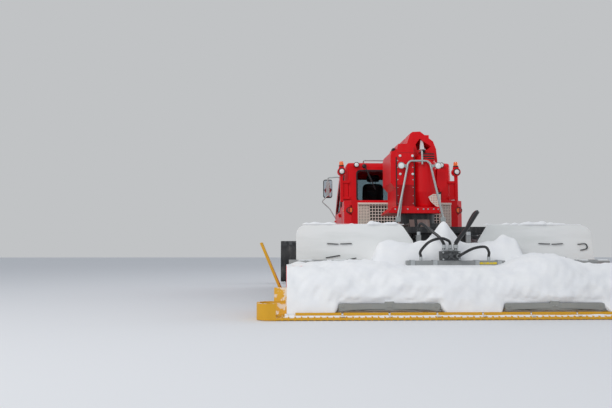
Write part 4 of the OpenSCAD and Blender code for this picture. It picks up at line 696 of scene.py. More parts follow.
gasket_rubber = mottled("gasket_rubber", 120, 2, ((0.010, 0.010, 0.011), (0.022, 0.022, 0.023)), (0.6, 0),
                        0.0003)
CAB_W, CAB_REAR, CAB_FRONT, ROOF, SCREEN_FOOT, SCREEN_TOP = 1.2, 0.10, 2.22, 2.75, 1.45, 1.64
SCREEN_RUN = (CAB_FRONT - SCREEN_TOP) / (ROOF - SCREEN_FOOT)


def side_x(y, z):
    """How far out the cab's side is: upright to 1.7 m, leaning in above it, tapering at the front."""
    return CAB_W - np.maximum(0, z - 1.7) * 0.095 / 1.05 - np.maximum(0, y - 1.89) * 0.23 / 0.33


def screen_y(z):
    """How far forward the windscreen's plane is at a height."""
    return CAB_FRONT - (z - SCREEN_FOOT) * SCREEN_RUN


def rounded(corners):
    """Corners (u, v, radius) joined to an outline: each turns from r / tan(angle / 2) before it."""
    corners = np.asarray(corners, float)
    here = corners[:, :2]
    before, after = np.roll(here, 1, 0), np.roll(here, -1, 0)
    angle = np.arccos(np.clip((unit(before - here) * unit(after - here)).sum(1), -1, 1))
    return bent(before, here, after, (corners[:, 2] / np.tan(angle / 2))[:, None])


def on_side(outline, side, out):
    """An outline (y, z) laid on the cab's side, a little out from it."""
    y, z = outline.T
    return np.column_stack([side * (side_x(y, z) + out), y, z])


rear_window = rounded([(-0.89, 1.92, 0.08), (0.89, 1.92, 0.08), (0.89, 2.57, 0.08), (-0.89, 2.57, 0.08)])
front_window = rounded([(-0.93, 1.53, 0.09), (0.93, 1.53, 0.09), (0.85, 2.58, 0.09), (-0.85, 2.58, 0.09)])
side_window = rounded([(0.37, 1.82, 0.05), (0.536, 1.82, 0.05), (0.536, 2.53, 0.05), (0.37, 2.53, 0.05)])
door_window = rounded([(0.716, 1.74, 0.06), (screen_y(1.74) - 0.37, 1.74, 0.06),
                       (screen_y(2.51) - 0.37, 2.51, 0.07), (0.716, 2.51, 0.06)])
door_edge = rounded([(0.622, 1.266, 0.05), (1.944, 1.266, 0.05), (screen_y(1.51) - 0.276, 1.51, 0.06),
                     (screen_y(2.594) - 0.276, 2.594, 0.09), (0.622, 2.594, 0.06)])
lip = np.array([(-0.014, -0.006), (0.010, -0.006), (0.010, 0.004), (0.004, 0.008), (-0.010, 0.008),
                (-0.014, 0.004)])
rear_line = np.insert(rear_window, 1, CAB_REAR - 0.003, 1)
front_line = np.insert(front_window, 1, screen_y(front_window[:, 1]) + 0.003, 1)
gaskets = [carried(rear_line, lip * 1.3, (0, 1, 0), True), carried(front_line, lip * 1.3, (0, 1, 0.4), True)]
door_seal = [(-0.005, -0.016), (0.005, -0.016), (0.005, 0.016), (-0.005, 0.016)]
for side in (-1, 1):
    gaskets.append(carried(on_side(side_window, side, 0.002), lip, (1, 0, 0), True))
    gaskets.append(carried(on_side(door_edge, side, -0.020), door_seal, (1, 0, 0), True))
piece("window_gaskets", gaskets, gasket_rubber, like="cab_shell", slot="lamp_plastic")
for side, name in SIDES:
    piece("door_gasket_" + name, [carried(on_side(door_window, side, 0.002), lip, (1, 0, 0), True)],
          gasket_rubber, like="door_" + name, slot="lamp_plastic")

black_plastic = mottled("black_plastic", 90, 3, ((0.012, 0.012, 0.013), (0.030, 0.030, 0.032)), (0.45, 0),
                        0.0004)
motor = (-0.735, CAB_REAR - 0.01, 2.665)
arm = [(-0.735, 0.055, 2.665), (-0.700, 0.045, 2.60), (-0.575, 0.060, 2.34)]
blade = [(-0.66, 0.075, 2.50), (-0.575, 0.068, 2.33), (-0.50, 0.075, 2.16)]
wipers = [
    revolved([(-0.055, 0.0), (-0.055, 0.030), (-0.048, 0.042), (0.0, 0.048), (0.0, 0.0)], motor, 28, 1),
    carried(arm, oblong(-0.012, 0.012, -0.007, 0.007, 0.004), (0, 1, 0)),
    carried(blade, oblong(-0.010, 0.010, -0.009, 0.009, 0.004), (0, 1, 0)),
]
for x in (-0.42, 0.42):
    foot = np.array([x, screen_y(1.50) + 0.02, 1.50])
    up = np.array([0.0, -SCREEN_RUN, 1.0])
    tip = foot + up * 0.62 + (0.18, 0.035, 0)
    on_glass = tip - (0, 0.012, 0)
    wipers.append(revolved([(-0.02, 0.0), (-0.02, 0.030), (0.03, 0.026), (0.038, 0.0)], foot, 24, 1))
    wipers.append(carried([foot + (0, 0.03, 0), (foot + tip) / 2 + (0, 0.03, 0), tip],
                          oblong(-0.010, 0.010, -0.006, 0.006, 0.004), (0, 1, 0)))
    wipers.append(carried([on_glass - up * 0.30, on_glass, on_glass + up * 0.26],
                          oblong(-0.008, 0.008, -0.010, 0.010, 0.004), (0, 1, 0)))
piece("wipers", wipers, black_plastic, like="cab_shell", slot="lamp_plastic")

# Inside the cab: two sprung seats in woven cloth, a moulded dashboard and a console between them.
# Each cushion is foam in a sewn cover, crowned, with side rolls and cross seams.
cloth = Finish("seat_cloth")
weave = cloth.node("ShaderNodeTexWave", {}, {"Vector": cloth.at(), "Scale": 300.0, "Distortion": 1.5})
patchy = cloth.noise(6, 4)
cloth.set(base_color=cloth.mix(patchy, (0.020, 0.021, 0.023), (0.05, 0.052, 0.056)), roughness=0.85)
cloth.relief(weave, 0.0006)


def bell(x, width):
    """exp(-(x / width)^2)."""
    return np.exp(-(x / width) ** 2)


def power(base, exponent):
    """sign(b) |b|^e."""
    return np.sign(base) * np.abs(base) ** exponent


def cushion(centre, size, tilt, seams):
    """A crowned pad: a superellipsoid swelled by 1 + 0.25 (1 - x^2) (1 - y^2) that sinks at its seams."""
    u = np.linspace(-math.pi / 2, math.pi / 2, 25)[:, None]
    v = (np.arange(48) * 2 * math.pi / 48)[None, :]
    x = power(np.cos(u), 0.35) * power(np.cos(v), 0.35)
    y = power(np.cos(u), 0.35) * power(np.sin(v), 0.35)
    z = power(np.sin(u), 0.45) * np.ones_like(v)
    swell = 1 + 0.25 * (1 - x ** 2) * (1 - y ** 2)
    groove = sum(bell(y - s, 0.05) for s in seams) + bell(np.abs(x) - 0.72, 0.05)
    z = z * swell * (1 - 0.14 * groove)
    local = np.stack([x * size[0] / 2, y * size[1] / 2, z * size[2] / 2], -1).reshape(-1, 3)
    c, s = math.cos(tilt), math.sin(tilt)
    turned = np.column_stack([local[:, 0], c * local[:, 1] - s * local[:, 2],
                              s * local[:, 1] + c * local[:, 2]])
    return turned + np.asarray(centre), grid_faces(25, 48, False, True).tolist()


for x, name in ((-0.48, "driver"), (0.48, "passenger")):
    pads = piece("seat_" + name, [
        cushion((x, 0.845, 1.700), (0.47, 0.48, 0.115), 0.03, (-0.3, 0.25)),
        cushion((x, 0.622, 2.045), (0.46, 0.60, 0.105), math.pi / 2 + 0.13, (-0.45, 0.0, 0.45)),
        cushion((x, 0.580, 2.460), (0.27, 0.155, 0.085), math.pi / 2 + 0.08, ()),
    ], cloth, replaces="seat_pads", crisp=math.radians(60))
softened("seat_bases", black, 0.004)
dash = mottled("dash_plastic", 180, 3, ((0.022, 0.023, 0.025), (0.045, 0.047, 0.05)), (0.6, 0), 0.0004)
softened("cab_console", dash, 0.008)
screens = [slab(oblong(-0.66, -0.44, 1.50, 1.64, 0.01), "y", 1.86, 1.88, 0.003),
           slab(oblong(-0.15, 0.10, 1.62, 1.80, 0.012), "y", 1.60, 1.625, 0.004),
           carried([(-0.03, 1.62, 1.70), (-0.03, 1.80, 1.50)], ring(0.014), (1, 0, 0))]
piece("cab_screens", screens, black_plastic, like="cab_console")

# Black tread plates at the doors, punched for grip, with the edge of each hole folded up.
# Boots have worn the black down to grey steel in patches.
tread_plate = mottled("tread_plate", 50, 4, ((0.10, 0.10, 0.105), (0.24, 0.245, 0.25)), (0.35, 0.3), 0.0004,
                      metallic=0.8)
softened("door_steps", tread_plate, 0)

# Mirrors on bent galvanised tubes: black shells with the glass facing back to the driver.
# One more tube of the same sort runs along the rear of the cab's roof.
softened("mirror_heads", black_plastic, 0.012)
galvanised = mottled("galvanised_tube", 34, 4, ((0.42, 0.46, 0.45), (0.62, 0.66, 0.65)), (0.3, 0.3), 0.0004,
                     metallic=0.7)
mirror_glass = Finish("mirror_glass").set(base_color=(0.60, 0.63, 0.66), metallic=1.0, roughness=0.03)
TUBE_R, MIRROR_X, MIRROR_Y = 0.0135, 1.37, 1.997
SLANT = (0.31, 0.2, 0.93)  # a direction that no tube below runs along
tubes, mirrors = [], []
for side in (-1, 1):
    s = np.array([side, 1, 1])
    upper = np.array([(1.113, 1.796, 2.6315), (1.15, 1.85, 2.65), (MIRROR_X, MIRROR_Y, 2.65),
                      (MIRROR_X, MIRROR_Y, 2.55)])
    lower = np.array([(MIRROR_X, MIRROR_Y, 2.22), (1.50, MIRROR_Y, 2.09), (1.50, MIRROR_Y, 2.05),
                      (1.33, MIRROR_Y, 1.90), (1.150, 1.964, 1.589)])
    mid = side * MIRROR_X
    tubes.append(carried(eased(upper * s, 0.04), ring(TUBE_R), SLANT))
    tubes.append(carried(eased(lower * s, 0.04), ring(TUBE_R), (0.31, 0.9, 0.23)))
    tubes.append(slab(oblong(mid - 0.04, mid + 0.04, 2.21, 2.56, 0.01), "y", 1.985, 2.012, 0.002))
    for z in (2.26, 2.50):
        tubes.append(hex_heads([(mid, 1.984, z)], (0, -1, 0), 0.009, 0.008))
    for z0, z1 in ((2.36, 2.585), (2.185, 2.345)):
        mirrors.append(slab(oblong(mid - 0.095, mid + 0.095, z0, z1, 0.03), "y", 2.005, 2.0125, 0.001))
piece("mirror_tubes", tubes, galvanised, replaces="mirror_arms")
piece("mirror_panes", mirrors, mirror_glass, like="mirror_heads")
roof_run = [(-0.74, 0.19, 2.752), (-0.74, 0.16, 2.795), (0.74, 0.16, 2.795), (0.74, 0.19, 2.752)]
piece("roof_tube", [carried(eased(roof_run, 0.03), ring(TUBE_R), (0.1, 1, 0.1))], galvanised,
      replaces="roof_rail")

# Lamps. The posts carry round red heads with white lamps and orange beacons on top;
# each lamp is a black pot with a clear lens, and the beacons are moulded domes with ribs.
softened("lamp_posts", red, 0.006)
softened("lamp_housings", black_plastic, 0.003)


def lens_finish(name, colour, glow):
    """Clear or coloured moulded plastic with fine ribs."""
    lens = Finish(name)
    lines = lens.node("ShaderNodeTexWave", {"bands_direction": "X"}, {"Vector": lens.at(), "Scale": 26.0})
    lens.set(base_color=colour, emission_color=colour, emission_strength=glow)
    lens.set(roughness=0.12, coat_weight=0.8)
    lens.relief(lines, 0.0015)
    return lens


white_lens = lens_finish("white_lens", (0.80, 0.83, 0.82), 0.15)
amber = lens_finish("amber_lens", (0.95, 0.16, 0.01), 0.12)
red_lens = lens_finish("red_lens", (0.55, 0.01, 0.01), 0.05)


def dome(centre, radius, deep, sign=-1):
    """A shallow glass: a disc that swells backwards or forwards by deep (1 - t^2)."""
    swell = [(sign * deep * (1 - t * t), radius * t) for t in np.linspace(0, 1, 7)]
    return revolved(swell + [(-sign * 0.006, radius), (-sign * 0.006, 0.0)], centre, 36, 1)


lamps, ambers, reds, bezels = [], [], [], []
lens_half = rounded([(0.002, -0.050, 0.002), (0.050, -0.040, 0.03), (0.050, 0.040, 0.03),
                     (0.002, 0.050, 0.002)])
cap = [(0.0, 0.0), (0.0, 0.050), (0.010, 0.050), (0.014, 0.047), (0.06, 0.047), (0.076, 0.043),
       (0.086, 0.030), (0.090, 0.0)]
POST_X, NOSE_Z, TAIL_X, TAIL_Z = 1.222, 1.29, 1.11, 1.69
for side in (-1, 1):
    for x, y, z, r, deep in ((POST_X, -0.016, 2.54, 0.050, 0.014), (0.905, 0.022, 2.688, 0.044, 0.010)):
        lamps.append(dome((side * x, y + 0.004, z), r, deep))
        rim = [(y, r), (y - 0.004, r + 0.004), (y, r + 0.011), (y + 0.012, r + 0.012), (y + 0.012, r)]
        bezels.append(revolved(rim, (side * x, 0, z), 36, 1))
    for x in (0.90, 0.70):
        lamps.append(dome((side * x, 2.383, NOSE_Z), 0.077, 0.012, 1))
        bezels.append(revolved([(2.376, 0.074), (2.376, 0.088), (2.388, 0.086), (2.392, 0.078)],
                               (side * x, 0, NOSE_Z), 36, 1))
    ambers.append(revolved([(2.676 + h, r) for h, r in cap], (side * POST_X, 0.075, 0), 32, 2))
    for way, lens in ((-side, ambers), (side, reds)):
        lens.append(slab(lens_half * (way, 1) + (side * TAIL_X, TAIL_Z), "y", -0.490, -0.472, 0.003))
    rim = [(-0.488, 0.054), (-0.488, 0.064), (-0.478, 0.066), (-0.470, 0.060), (-0.470, 0.054)]
    bezels.append(revolved(rim, (side * TAIL_X, 0, TAIL_Z), 36, 1))
    low, high = sorted((side * 1.2105, side * 1.2265))
    ambers.append(slab(oblong(-0.295, -0.235, 1.665, 1.715, 0.012), "x", low, high, 0.002))
piece("lamp_glasses", lamps, white_lens, replaces="lamp_lenses")
piece("beacons_and_markers", ambers, amber, replaces="amber_lenses")
piece("tail_glasses", reds, red_lens, replaces="red_lenses")
piece("lamp_bezels", bezels, black_plastic, like="lamp_housings")

# The winch: a red housing of bolted sheet panels that turns on a ring over a black pedestal.
# A tall faceted case stands on its left, a round drum cover on its right, with louvres above it.
softened("winch_housing", red, 0.014, 3)
softened("winch_boom", red, 0.012, 3)
softened("winch_pedestal", black, 0.006)
SLEW_Y, WINCH_TOP, CASE_BACK = -1.60, 2.765, -0.431


def winch_piece(name, parts, finish, **settings):
    """A piece whose parts are given from the slewing axis."""
    moved = [(np.asarray(points).reshape(-1, 3) + (0, SLEW_Y, 0), faces) for points, faces in parts]
    return piece(name, moved, finish, **settings)


dark = [slab(oblong(*across, *up), "y", low, high, 0.001) for across, up, low, high in (
    ((-0.461, -0.445), (1.65, 2.52), -0.4392, -0.4280), ((-0.143, -0.127), (1.65, 2.52), -0.4392, -0.4280),
    ((-0.140, -0.134), (1.66, 2.70), -0.4312, -0.4290), ((-0.430, -0.142), (2.597, 2.602), -0.4312, -0.4290))]
for z in WINCH_TOP - 0.2735 + 0.042 * np.arange(3):
    dark.append(slab(oblong(0.026, 0.244, -0.389, -0.20, 0.02), "z", z, z + 0.025, 0.001))
dark.append(revolved([(-0.205, 0.0), (-0.205, 0.026), (-0.197, 0.036), (-0.142, 0.0365), (-0.142, 0.0)],
                     (-0.452, 0, WINCH_TOP - 0.075), 24, 1))
winch_piece("winch_seams", dark, gasket_rubber, like="winch_housing", slot="lamp_plastic")
# A darker red panel over the lower part of the case's rear face
darker_red = enamel("panel_red", (0.50, 0.002, 0.006), roughness=0.4, coat=0.05, dust=0.05, shine=0.2)
winch_piece("winch_panel", [slab(oblong(-0.443, -0.145, 1.66, 2.03, 0.01), "y", -0.4325, -0.4295, 0.001)],
            darker_red, like="winch_housing")
white_plastic = Finish("white_plastic").set(base_color=(0.80, 0.81, 0.80), roughness=0.35)
cap_profile = [(-0.452, 0.0), (-0.450, 0.016), (-0.444, 0.0225), (-0.428, 0.0235), (-0.428, 0.0)]
caps = [revolved(cap_profile, (x, 0, WINCH_TOP - down), 28, 1) for x in (-0.385, -0.165)
        for down in (0.220, 0.545)]
winch_piece("winch_caps", caps, white_plastic, like="winch_housing", slot="clear_lens")
fan = np.array([(0.115, 1.820), (0.157, 1.735), (0.245, 1.655), (0.335, 1.620), (0.335, 1.870),
                (0.200, 1.870)])
winch_piece("winch_fan_mesh", [slab(fan, "y", -0.4025, -0.4005, 0.0005)], holed_steel_painted_light,
            like="winch_housing", slot="grille_steel")
winch_piece("winch_fan_rim", [sunk(fan, 0.012, "y", -0.4065, -0.4005)], guard_steel_painted_light,
            like="winch_housing", slot="grille_steel")
skirt_bolts = [(x, CASE_BACK, 1.60) for x in (-0.48, -0.38, -0.26, -0.08, 0.02, 0.10, 0.20, 0.28)]
case_bolts = [(x, CASE_BACK, z) for x in (-0.43, -0.16) for z in (1.70, 1.84, 1.98, 2.12, 2.34, 2.46)]
winch_piece("winch_bolts", [hex_heads(skirt_bolts, (0, -1, 0), 0.010, 0.009),
                            hex_heads(case_bolts, (0, -1, 0), 0.007, 0.005)],
            zinc, like="winch_housing", slot="galvanised")
pedestal_paint = enamel("pedestal_brown", (0.25, 0.165, 0.145), roughness=0.6, coat=0.0, dust=0.5,
                        dirt=(0.42, 0.38, 0.36))
panels = [slab(rounded([(x0, 1.225, 0.006), (x1, 1.225, 0.006), (x1 - 0.018, 1.395, 0.006),
                        (x0 - 0.018, 1.395, 0.006)]), "y", -0.8045, -0.8005, 0.001)
          for x0, x1 in ((-0.300, -0.215), (-0.165, 0.045))]
winch_piece("pedestal_panels", panels, pedestal_paint, like="winch_pedestal")
feet = [(x, y, 1.2005) for x in (-0.36, 0.36) for y in np.linspace(-0.75, 0.75, 7)]
winch_piece("pedestal_bolts", [hex_heads(feet, (0, 0, 1), 0.016, 0.014)], zinc,
            like="winch_pedestal", slot="galvanised")
wedge = [(0.022, 2.702), (0.105, 2.702), (0.083, 2.83), (0.050, 2.888), (0.036, 2.888)]
winch_piece("rope_guide", [slab(wedge, "y", -0.215, -0.175, 0.004),
                           slab(oblong(0.008, 0.120, -0.246, -0.150, 0.01), "z", 2.690, 2.703, 0.002)],
            white_plastic, like="winch_boom", slot="clear_lens")
roller = [(-0.026, 0.0), (-0.026, 0.026), (-0.018, 0.030), (0.018, 0.030), (0.026, 0.026), (0.026, 0.0)]
winch_piece("rope_roller", [revolved(roller, (0.07, -0.274, 2.660), 24)], black_plastic,
            like="winch_boom", slot="lamp_plastic")

# The galvanised hoop behind the winch: bent tube on two feet, with a middle tube up to the arch
# and two round work lamps on gusset plates.
HOOP_X, HOOP_LAMP_Z = -0.06, 2.358
side_run = np.array([(0.415, -0.52, 1.37), (0.212, -0.485, 2.33), (0.200, -0.475, 2.40),
                     (0.150, -0.468, 2.45)])
whole_run = np.concatenate([side_run * (-1, 1, 1), side_run[::-1]]) + (HOOP_X, 0, 0)
middle_run = [(0, -0.468, 2.39), (0, -0.468, 2.59), (0, -0.43, 2.64), (0, -0.2505, 2.64)]
brace_run = [(HOOP_X - 0.365, -0.505, 1.38), (HOOP_X - 0.33, -0.4975, 1.655), (HOOP_X - 0.295, -0.49, 1.93)]
hoop = [carried(eased(whole_run, 0.04), ring(0.0193, 16), (0.12, 0.99, 0.03)),
        carried(eased(middle_run, 0.03), ring(0.0165, 16), (1, 0, 0)),
        carried(brace_run, ring(0.0122), (0, 1, 0))]
pot = [(-0.541, 0.050), (-0.545, 0.055), (-0.541, 0.059), (-0.525, 0.059), (-0.50, 0.052), (-0.484, 0.034),
       (-0.4805, 0.0), (-0.515, 0.0), (-0.53, 0.046)]
gusset = np.array([(0.206, 2.300), (0.295, 2.366), (0.295, 2.385), (0.197, 2.385)])
pots, glasses = [], []
for side in (-1, 1):
    x = HOOP_X + side * 0.375
    hoop.append(carried([(x, y, 1.56) for y in (-0.513, -0.47, CASE_BACK)], ring(0.0165), (0, 0, 1)))
    hoop.append(slab((gusset * (side, 1) + (HOOP_X, 0))[::side], "y", -0.480, -0.468, 0.001))
    x = HOOP_X + side * 0.395
    hoop.append(slab(oblong(x - 0.045, x + 0.045, 1.368, 1.45, 0.012), "y", -0.548, -0.536, 0.002))
    x = HOOP_X + side * 0.325
    pots.append(revolved(pot, (x, 0, HOOP_LAMP_Z), 32, 1))
    glasses.append(dome((x, -0.533, HOOP_LAMP_Z), 0.0495, 0.010))
winch_piece("hoop_tubes", hoop, galvanised, replaces="winch_hoop")
winch_piece("hoop_lamps", pots, galvanised, replaces="winch_lamps")
winch_piece("hoop_lamp_glasses", glasses, white_lens, like="winch_lamps", slot="clear_lens")

# The rope head at the boom's end is black plate and turns on a pin.
# Its sheave is turned steel, bright where the rope runs.
sheave = mottled("sheave_steel", 80, 3, ((0.30, 0.30, 0.31), (0.48, 0.48, 0.49)), (0.25, 0.2), 0.0002,
                 metallic=0.95)
softened("boom_head", black, 0.003)
softened("boom_sheave", sheave, 0.001)

# The front blade: a curved board of plate with ribs behind, a bolted toothed edge and two wings.
# It rides on a push frame with a turntable; chromed rods work the lift.
softened("blade_board", red, 0.004)
for node in ("blade_wing_left", "blade_wing_right", "push_frame", "blade_swivel", "blade_barrels",
             "tiller_carrier", "tiller_barrels"):
    softened(node, black, 0.005)
chrome = Finish("rod_chrome")
wiped = chrome.noise(50, 2)
chrome.set(base_color=(0.72, 0.73, 0.75), metallic=1.0, roughness=wiped * 0.08 + 0.08)
for node in ("blade_rods", "tiller_rods"):
    softened(node, chrome, 0.002)
EDGE_ANGLE = math.radians(42)
BLADE_R = 0.8  # radius of the blade's curve, round a line behind its face
EDGE_Y = 3.892 + BLADE_R * (1 - math.cos(EDGE_ANGLE))
EDGE_Z = 0.6 - BLADE_R * math.sin(EDGE_ANGLE)
lean_up = np.array([0, -math.sin(EDGE_ANGLE), math.cos(EDGE_ANGLE)])
lean_out = np.array([0, math.cos(EDGE_ANGLE), math.sin(EDGE_ANGLE)])


def edge_bolts(xs):
    """Plough bolts along the cutting edge, in two rows up its slope."""
    at = np.array([(x, EDGE_Y, EDGE_Z) + lean_up * h + lean_out * 0.018 for x in xs for h in (0.02, 0.075)])
    return hex_heads(at, lean_out, 0.011, 0.008)


bolted("edge_bolts", [edge_bolts(np.linspace(-1.8, 1.8, 19))], "blade_board")
for side, name in SIDES:
    bolted("wing_bolts_" + name, [edge_bolts(side * np.linspace(2.02, 2.44, 4))], "blade_wing_" + name)

# The tiller behind: a red hood of plate over two cutter shafts, hung from a grey cross beam.
# Its shafts are steel drums with hard-faced tines set along a helix.
softened("tiller_hood", red, 0.006)
grey = enamel("beam_grey", (0.32, 0.33, 0.33), roughness=0.5, coat=0.05, dust=0.5, snow=0.9,
              dirt=(0.44, 0.44, 0.43))
softened("tiller_frame", grey, 0.006)
tine_steel = mottled("tine_steel", 45, 5, ((0.16, 0.15, 0.14), (0.42, 0.42, 0.42)), (0.3, 0.35), 0.0008,
                     metallic=0.8)
for node in ("rotor_left", "rotor_right"):
    softened(node, tine_steel, 0.003)
label_yellow = Finish("label_yellow")
rubbed = label_yellow.rise(label_yellow.noise(40, 3), 0.55, 0.7)
label_yellow.set(base_color=label_yellow.mix(rubbed, (0.80, 0.60, 0.03), (0.45, 0.42, 0.30)), roughness=0.5)
piece("beam_patch", [slab(oblong(0.33, 0.58, 0.675, 0.705, 0.004), "y", -4.0365, -4.0350, 0.0004)],
      label_yellow, like="tiller_frame", slot="yellow_plastic")
CLAMPS = (-0.62, -0.30, 0.30, 0.62)
clamps = [sunk(oblong(-4.043, -3.917, 0.648, 0.737, 0.012), 0.0065, "x", x - 0.03, x + 0.03)
          for x in CLAMPS]
beam_heads = [(x, -4.0435, z) for x in CLAMPS for z in (0.672, 0.712)]
bolted("beam_clamps", [*clamps, hex_heads(beam_heads, (0, -1, 0), 0.010, 0.009)], "tiller_frame")

# The valve block on the beam: a cast manifold with zinc fittings and a star of levers behind.
# Rubber hoses with crimped ends arch over to the bulkhead and to stubs on the beam.
cast = mottled("valve_casting", 60, 5, ((0.05, 0.053, 0.055), (0.13, 0.135, 0.14)), (0.5, 0.3), 0.0015,
               metallic=0.3)
softened("hydraulic_block", cast, 0.006)
BEAM_Y = -3.98
fitting = [(0.857, 0.0), (0.857, 0.034), (0.862, 0.036), (0.875, 0.036), (0.880, 0.030), (0.899, 0.028),
           (0.899, 0.0)]
fittings = [revolved(fitting, (x, BEAM_Y + 0.03, 0), 6, 2) for x in (-0.15, -0.06, 0.02)]
lever = np.array([(-0.010, -0.02), (0.010, -0.02), (0.007, 0.062), (-0.007, 0.062)])
for a in np.arange(5) * 2 * math.pi / 5:
    turned = lever @ np.array([(math.cos(a), -math.sin(a)), (math.sin(a), math.cos(a))]) + (-0.08, 0.80)
    fittings.append(slab(turned, "y", BEAM_Y - 0.074, BEAM_Y - 0.060, 0.003))
block_heads = [(x, BEAM_Y - 0.0605, z) for x in (-0.185, 0.045) for z in (0.745, 0.842)]
fittings.append(hex_heads(block_heads, (0, -1, 0), 0.009, 0.009))
fittings.append(revolved([(-0.080, 0.0), (-0.080, 0.020), (-0.074, 0.026), (-0.058, 0.026), (-0.058, 0.0)],
                         (-0.08, BEAM_Y, 0.80), 24, 1))
bolted("block_fittings", fittings, "hydraulic_block")


def flowing(points, steps):
    """A smooth line through points: straight at both ends, between them cubics led by their neighbours."""
    p = np.asarray(points, float)
    t = (np.arange(steps) / steps)[None, :, None]
    a, b, c, d = p[:-3, None], p[1:-2, None], p[2:-1, None], p[3:, None]
    line = 0.5 * (2 * b + (c - a) * t + (2 * a - 5 * b + 4 * c - d) * t ** 2
                  + (3 * b - a - 3 * c + d) * t ** 3)
    return np.concatenate([p[:1], line.reshape(-1, 3), p[-2:]])


FIT_Y, FIT, LEAD, BULK_Y, BULK, STUB = BEAM_Y + 0.03, 0.9003, 0.06, -3.55, 1.10, 0.73
HOSES = [  # radius and the points that it passes, with a straight lead at each end
    (0.022, [(-0.15, FIT_Y, FIT), (-0.15, FIT_Y, FIT + LEAD), (-0.20, -3.90, 1.06), (-0.32, -3.78, 1.18),
             (-0.40, -3.64, 1.27), (-0.42, BULK_Y, BULK + LEAD + 0.06), (-0.42, BULK_Y, BULK + LEAD),
             (-0.42, BULK_Y, BULK + 0.0003)]),
    (0.030, [(0.02, FIT_Y, FIT), (0.02, FIT_Y, FIT + LEAD), (0.08, -3.91, 1.04), (0.21, -3.85, 1.18),
             (0.37, -3.76, 1.38), (0.43, -3.69, 1.44), (0.40, -3.61, 1.40),
             (0.33, BULK_Y, BULK + LEAD + 0.08), (0.33, BULK_Y, BULK + LEAD), (0.33, BULK_Y, BULK + 0.0003)]),
    (0.020, [(-0.06, FIT_Y, FIT), (-0.06, FIT_Y, FIT + LEAD), (-0.10, -4.00, 1.01), (-0.22, -4.04, 1.04),
             (-0.38, -4.03, 0.99), (-0.49, -3.97, STUB + LEAD + 0.07), (-0.49, -3.97, STUB + LEAD),
             (-0.49, -3.97, STUB)]),
    (0.020, [(0.01, BEAM_Y - 0.1003, 0.79), (0.01, BEAM_Y - 0.10 - LEAD, 0.79), (0.06, -4.19, 0.83),
             (0.22, -4.15, 0.90), (0.40, -4.08, 0.92), (0.482, -3.995, STUB + LEAD + 0.06),
             (0.482, -3.985, STUB + LEAD), (0.482, -3.985, STUB)]),
]
hose_rubber = mottled("hose_rubber", 140, 2, ((0.006, 0.006, 0.007), (0.016, 0.016, 0.017)), (0.3, 0), 0.0006)
hose_rubber.set(coat_weight=0.3)
hoses, crimps = [], []
for radius, points in HOSES:
    line = flowing(points, 8)
    hoses.append(carried(line, ring(radius, 14), SLANT))
    for end, ahead in ((line[0], line[1]), (line[-1], line[-2])):
        run = end + unit(ahead - end) * np.array([[0.001], [0.025], [0.05]])
        crimps.append(carried(run, ring(radius * 1.2), SLANT))
piece("tiller_hoses_dressed", hoses, hose_rubber, replaces="tiller_hoses", crisp=math.radians(60))
bolted("hose_collars", crimps, "tiller_hoses")

# The comb: a yellow plastic mat that irons the snow, with ribs on its rear edge. The grey bars
# with leaf springs press it down, and yellow side finishers are folded up on the hood's ends.
comb_plastic = Finish("comb_plastic")
milky, scrape = comb_plastic.noise(2.2, 4), comb_plastic.noise(34, 5, (1, 0.25, 1))
iced = comb_plastic.rise(comb_plastic.noise(9, 5) + 0.25 * scrape, 0.64, 0.72)
comb_plastic.set(
    base_color=comb_plastic.mix(iced * comb_plastic.rise(comb_plastic.facing("Z"), 0.2, 0.7),
                                comb_plastic.mix(milky * 0.6, (0.80, 0.42, 0.012), (0.62, 0.30, 0.010)),
                                (0.85, 0.86, 0.87)),
    roughness=scrape * 0.2 + 0.42)
comb_plastic.relief(scrape, 0.0008)
softened("comb_mat", comb_plastic, 0.003)
breaks = (-2.30, -1.697, -1.102, -0.495, 0.087, 0.707, 1.302, 1.90, 2.48)
rib = [(-4.874, 0.046), (-4.850, 0.046), (-4.853, 0.090), (-4.867, 0.090)]
ridge = [slab(rib, "x", x0 + 0.012, x1 - 0.012, 0.002) for x0, x1 in zip(breaks, breaks[1:])]
piece("comb_ridge", ridge, comb_plastic, like="comb_mat")
clips = [slab(oblong(x - 0.022, x + 0.022, -4.952, -4.885, 0.006), "z", 0.046, 0.058, 0.002)
         for x in breaks[1:-1]]
piece("comb_clips", clips, white_plastic, like="comb_mat", slot="clear_lens")
spring_paint = enamel("spring_grey", (0.36, 0.37, 0.35), roughness=0.5, coat=0.05, dust=0.5, snow=0.5,
                      dirt=(0.42, 0.40, 0.36))
lug = np.array([(-4.572, 0.171), (-4.596, 0.214), (-4.731, 0.214), (-4.731, 0.171)])
s = np.linspace(-1, 1, 41)
bars = []
for mid in (-1.077, 1.077):
    bars.append(slab(oblong(mid - 0.64, mid + 0.64, 0.10, 0.19, 0.006), "y", -4.729, -4.701, 0.003))
    bars.append(slab(oblong(mid - 0.64, mid + 0.64, 0.178, 0.190, 0.004), "y", -4.7295, -4.690, 0.002))
    for x in (-0.60, 0.0, 0.60):
        pad = oblong(mid + x - 0.055, mid + x + 0.055, 0.110, 0.186, 0.01)
        bars.append(slab(pad, "y", -4.7300, -4.7280, 0.0005))
    bars.append(slab(lug, "x", mid - 0.059, mid + 0.059, 0.002))
    for lift, reach in ((0.0, 0.90), (0.009, 0.68), (0.018, 0.45)):
        x = mid + s * reach
        z = 0.080 + lift + 0.036 * (1 - np.abs(s) ** 2.2) * (reach / 0.9) + 0.010 * (np.abs(s) > 0.97)
        leaf = oblong(-0.019, 0.019, -0.003, 0.003, 0.001, 2)
        bars.append(carried(np.column_stack([x, np.full(41, -4.710), z]), leaf, (0, 0, 1)))
    heads = [(mid + x, -4.7302, 0.148) for x in (-0.60, -0.02, 0.02, 0.60)]
    bars.append(hex_heads(heads, (0, -1, 0), 0.011, 0.010))
piece("press_bars_dressed", bars, spring_paint, replaces="press_bars")
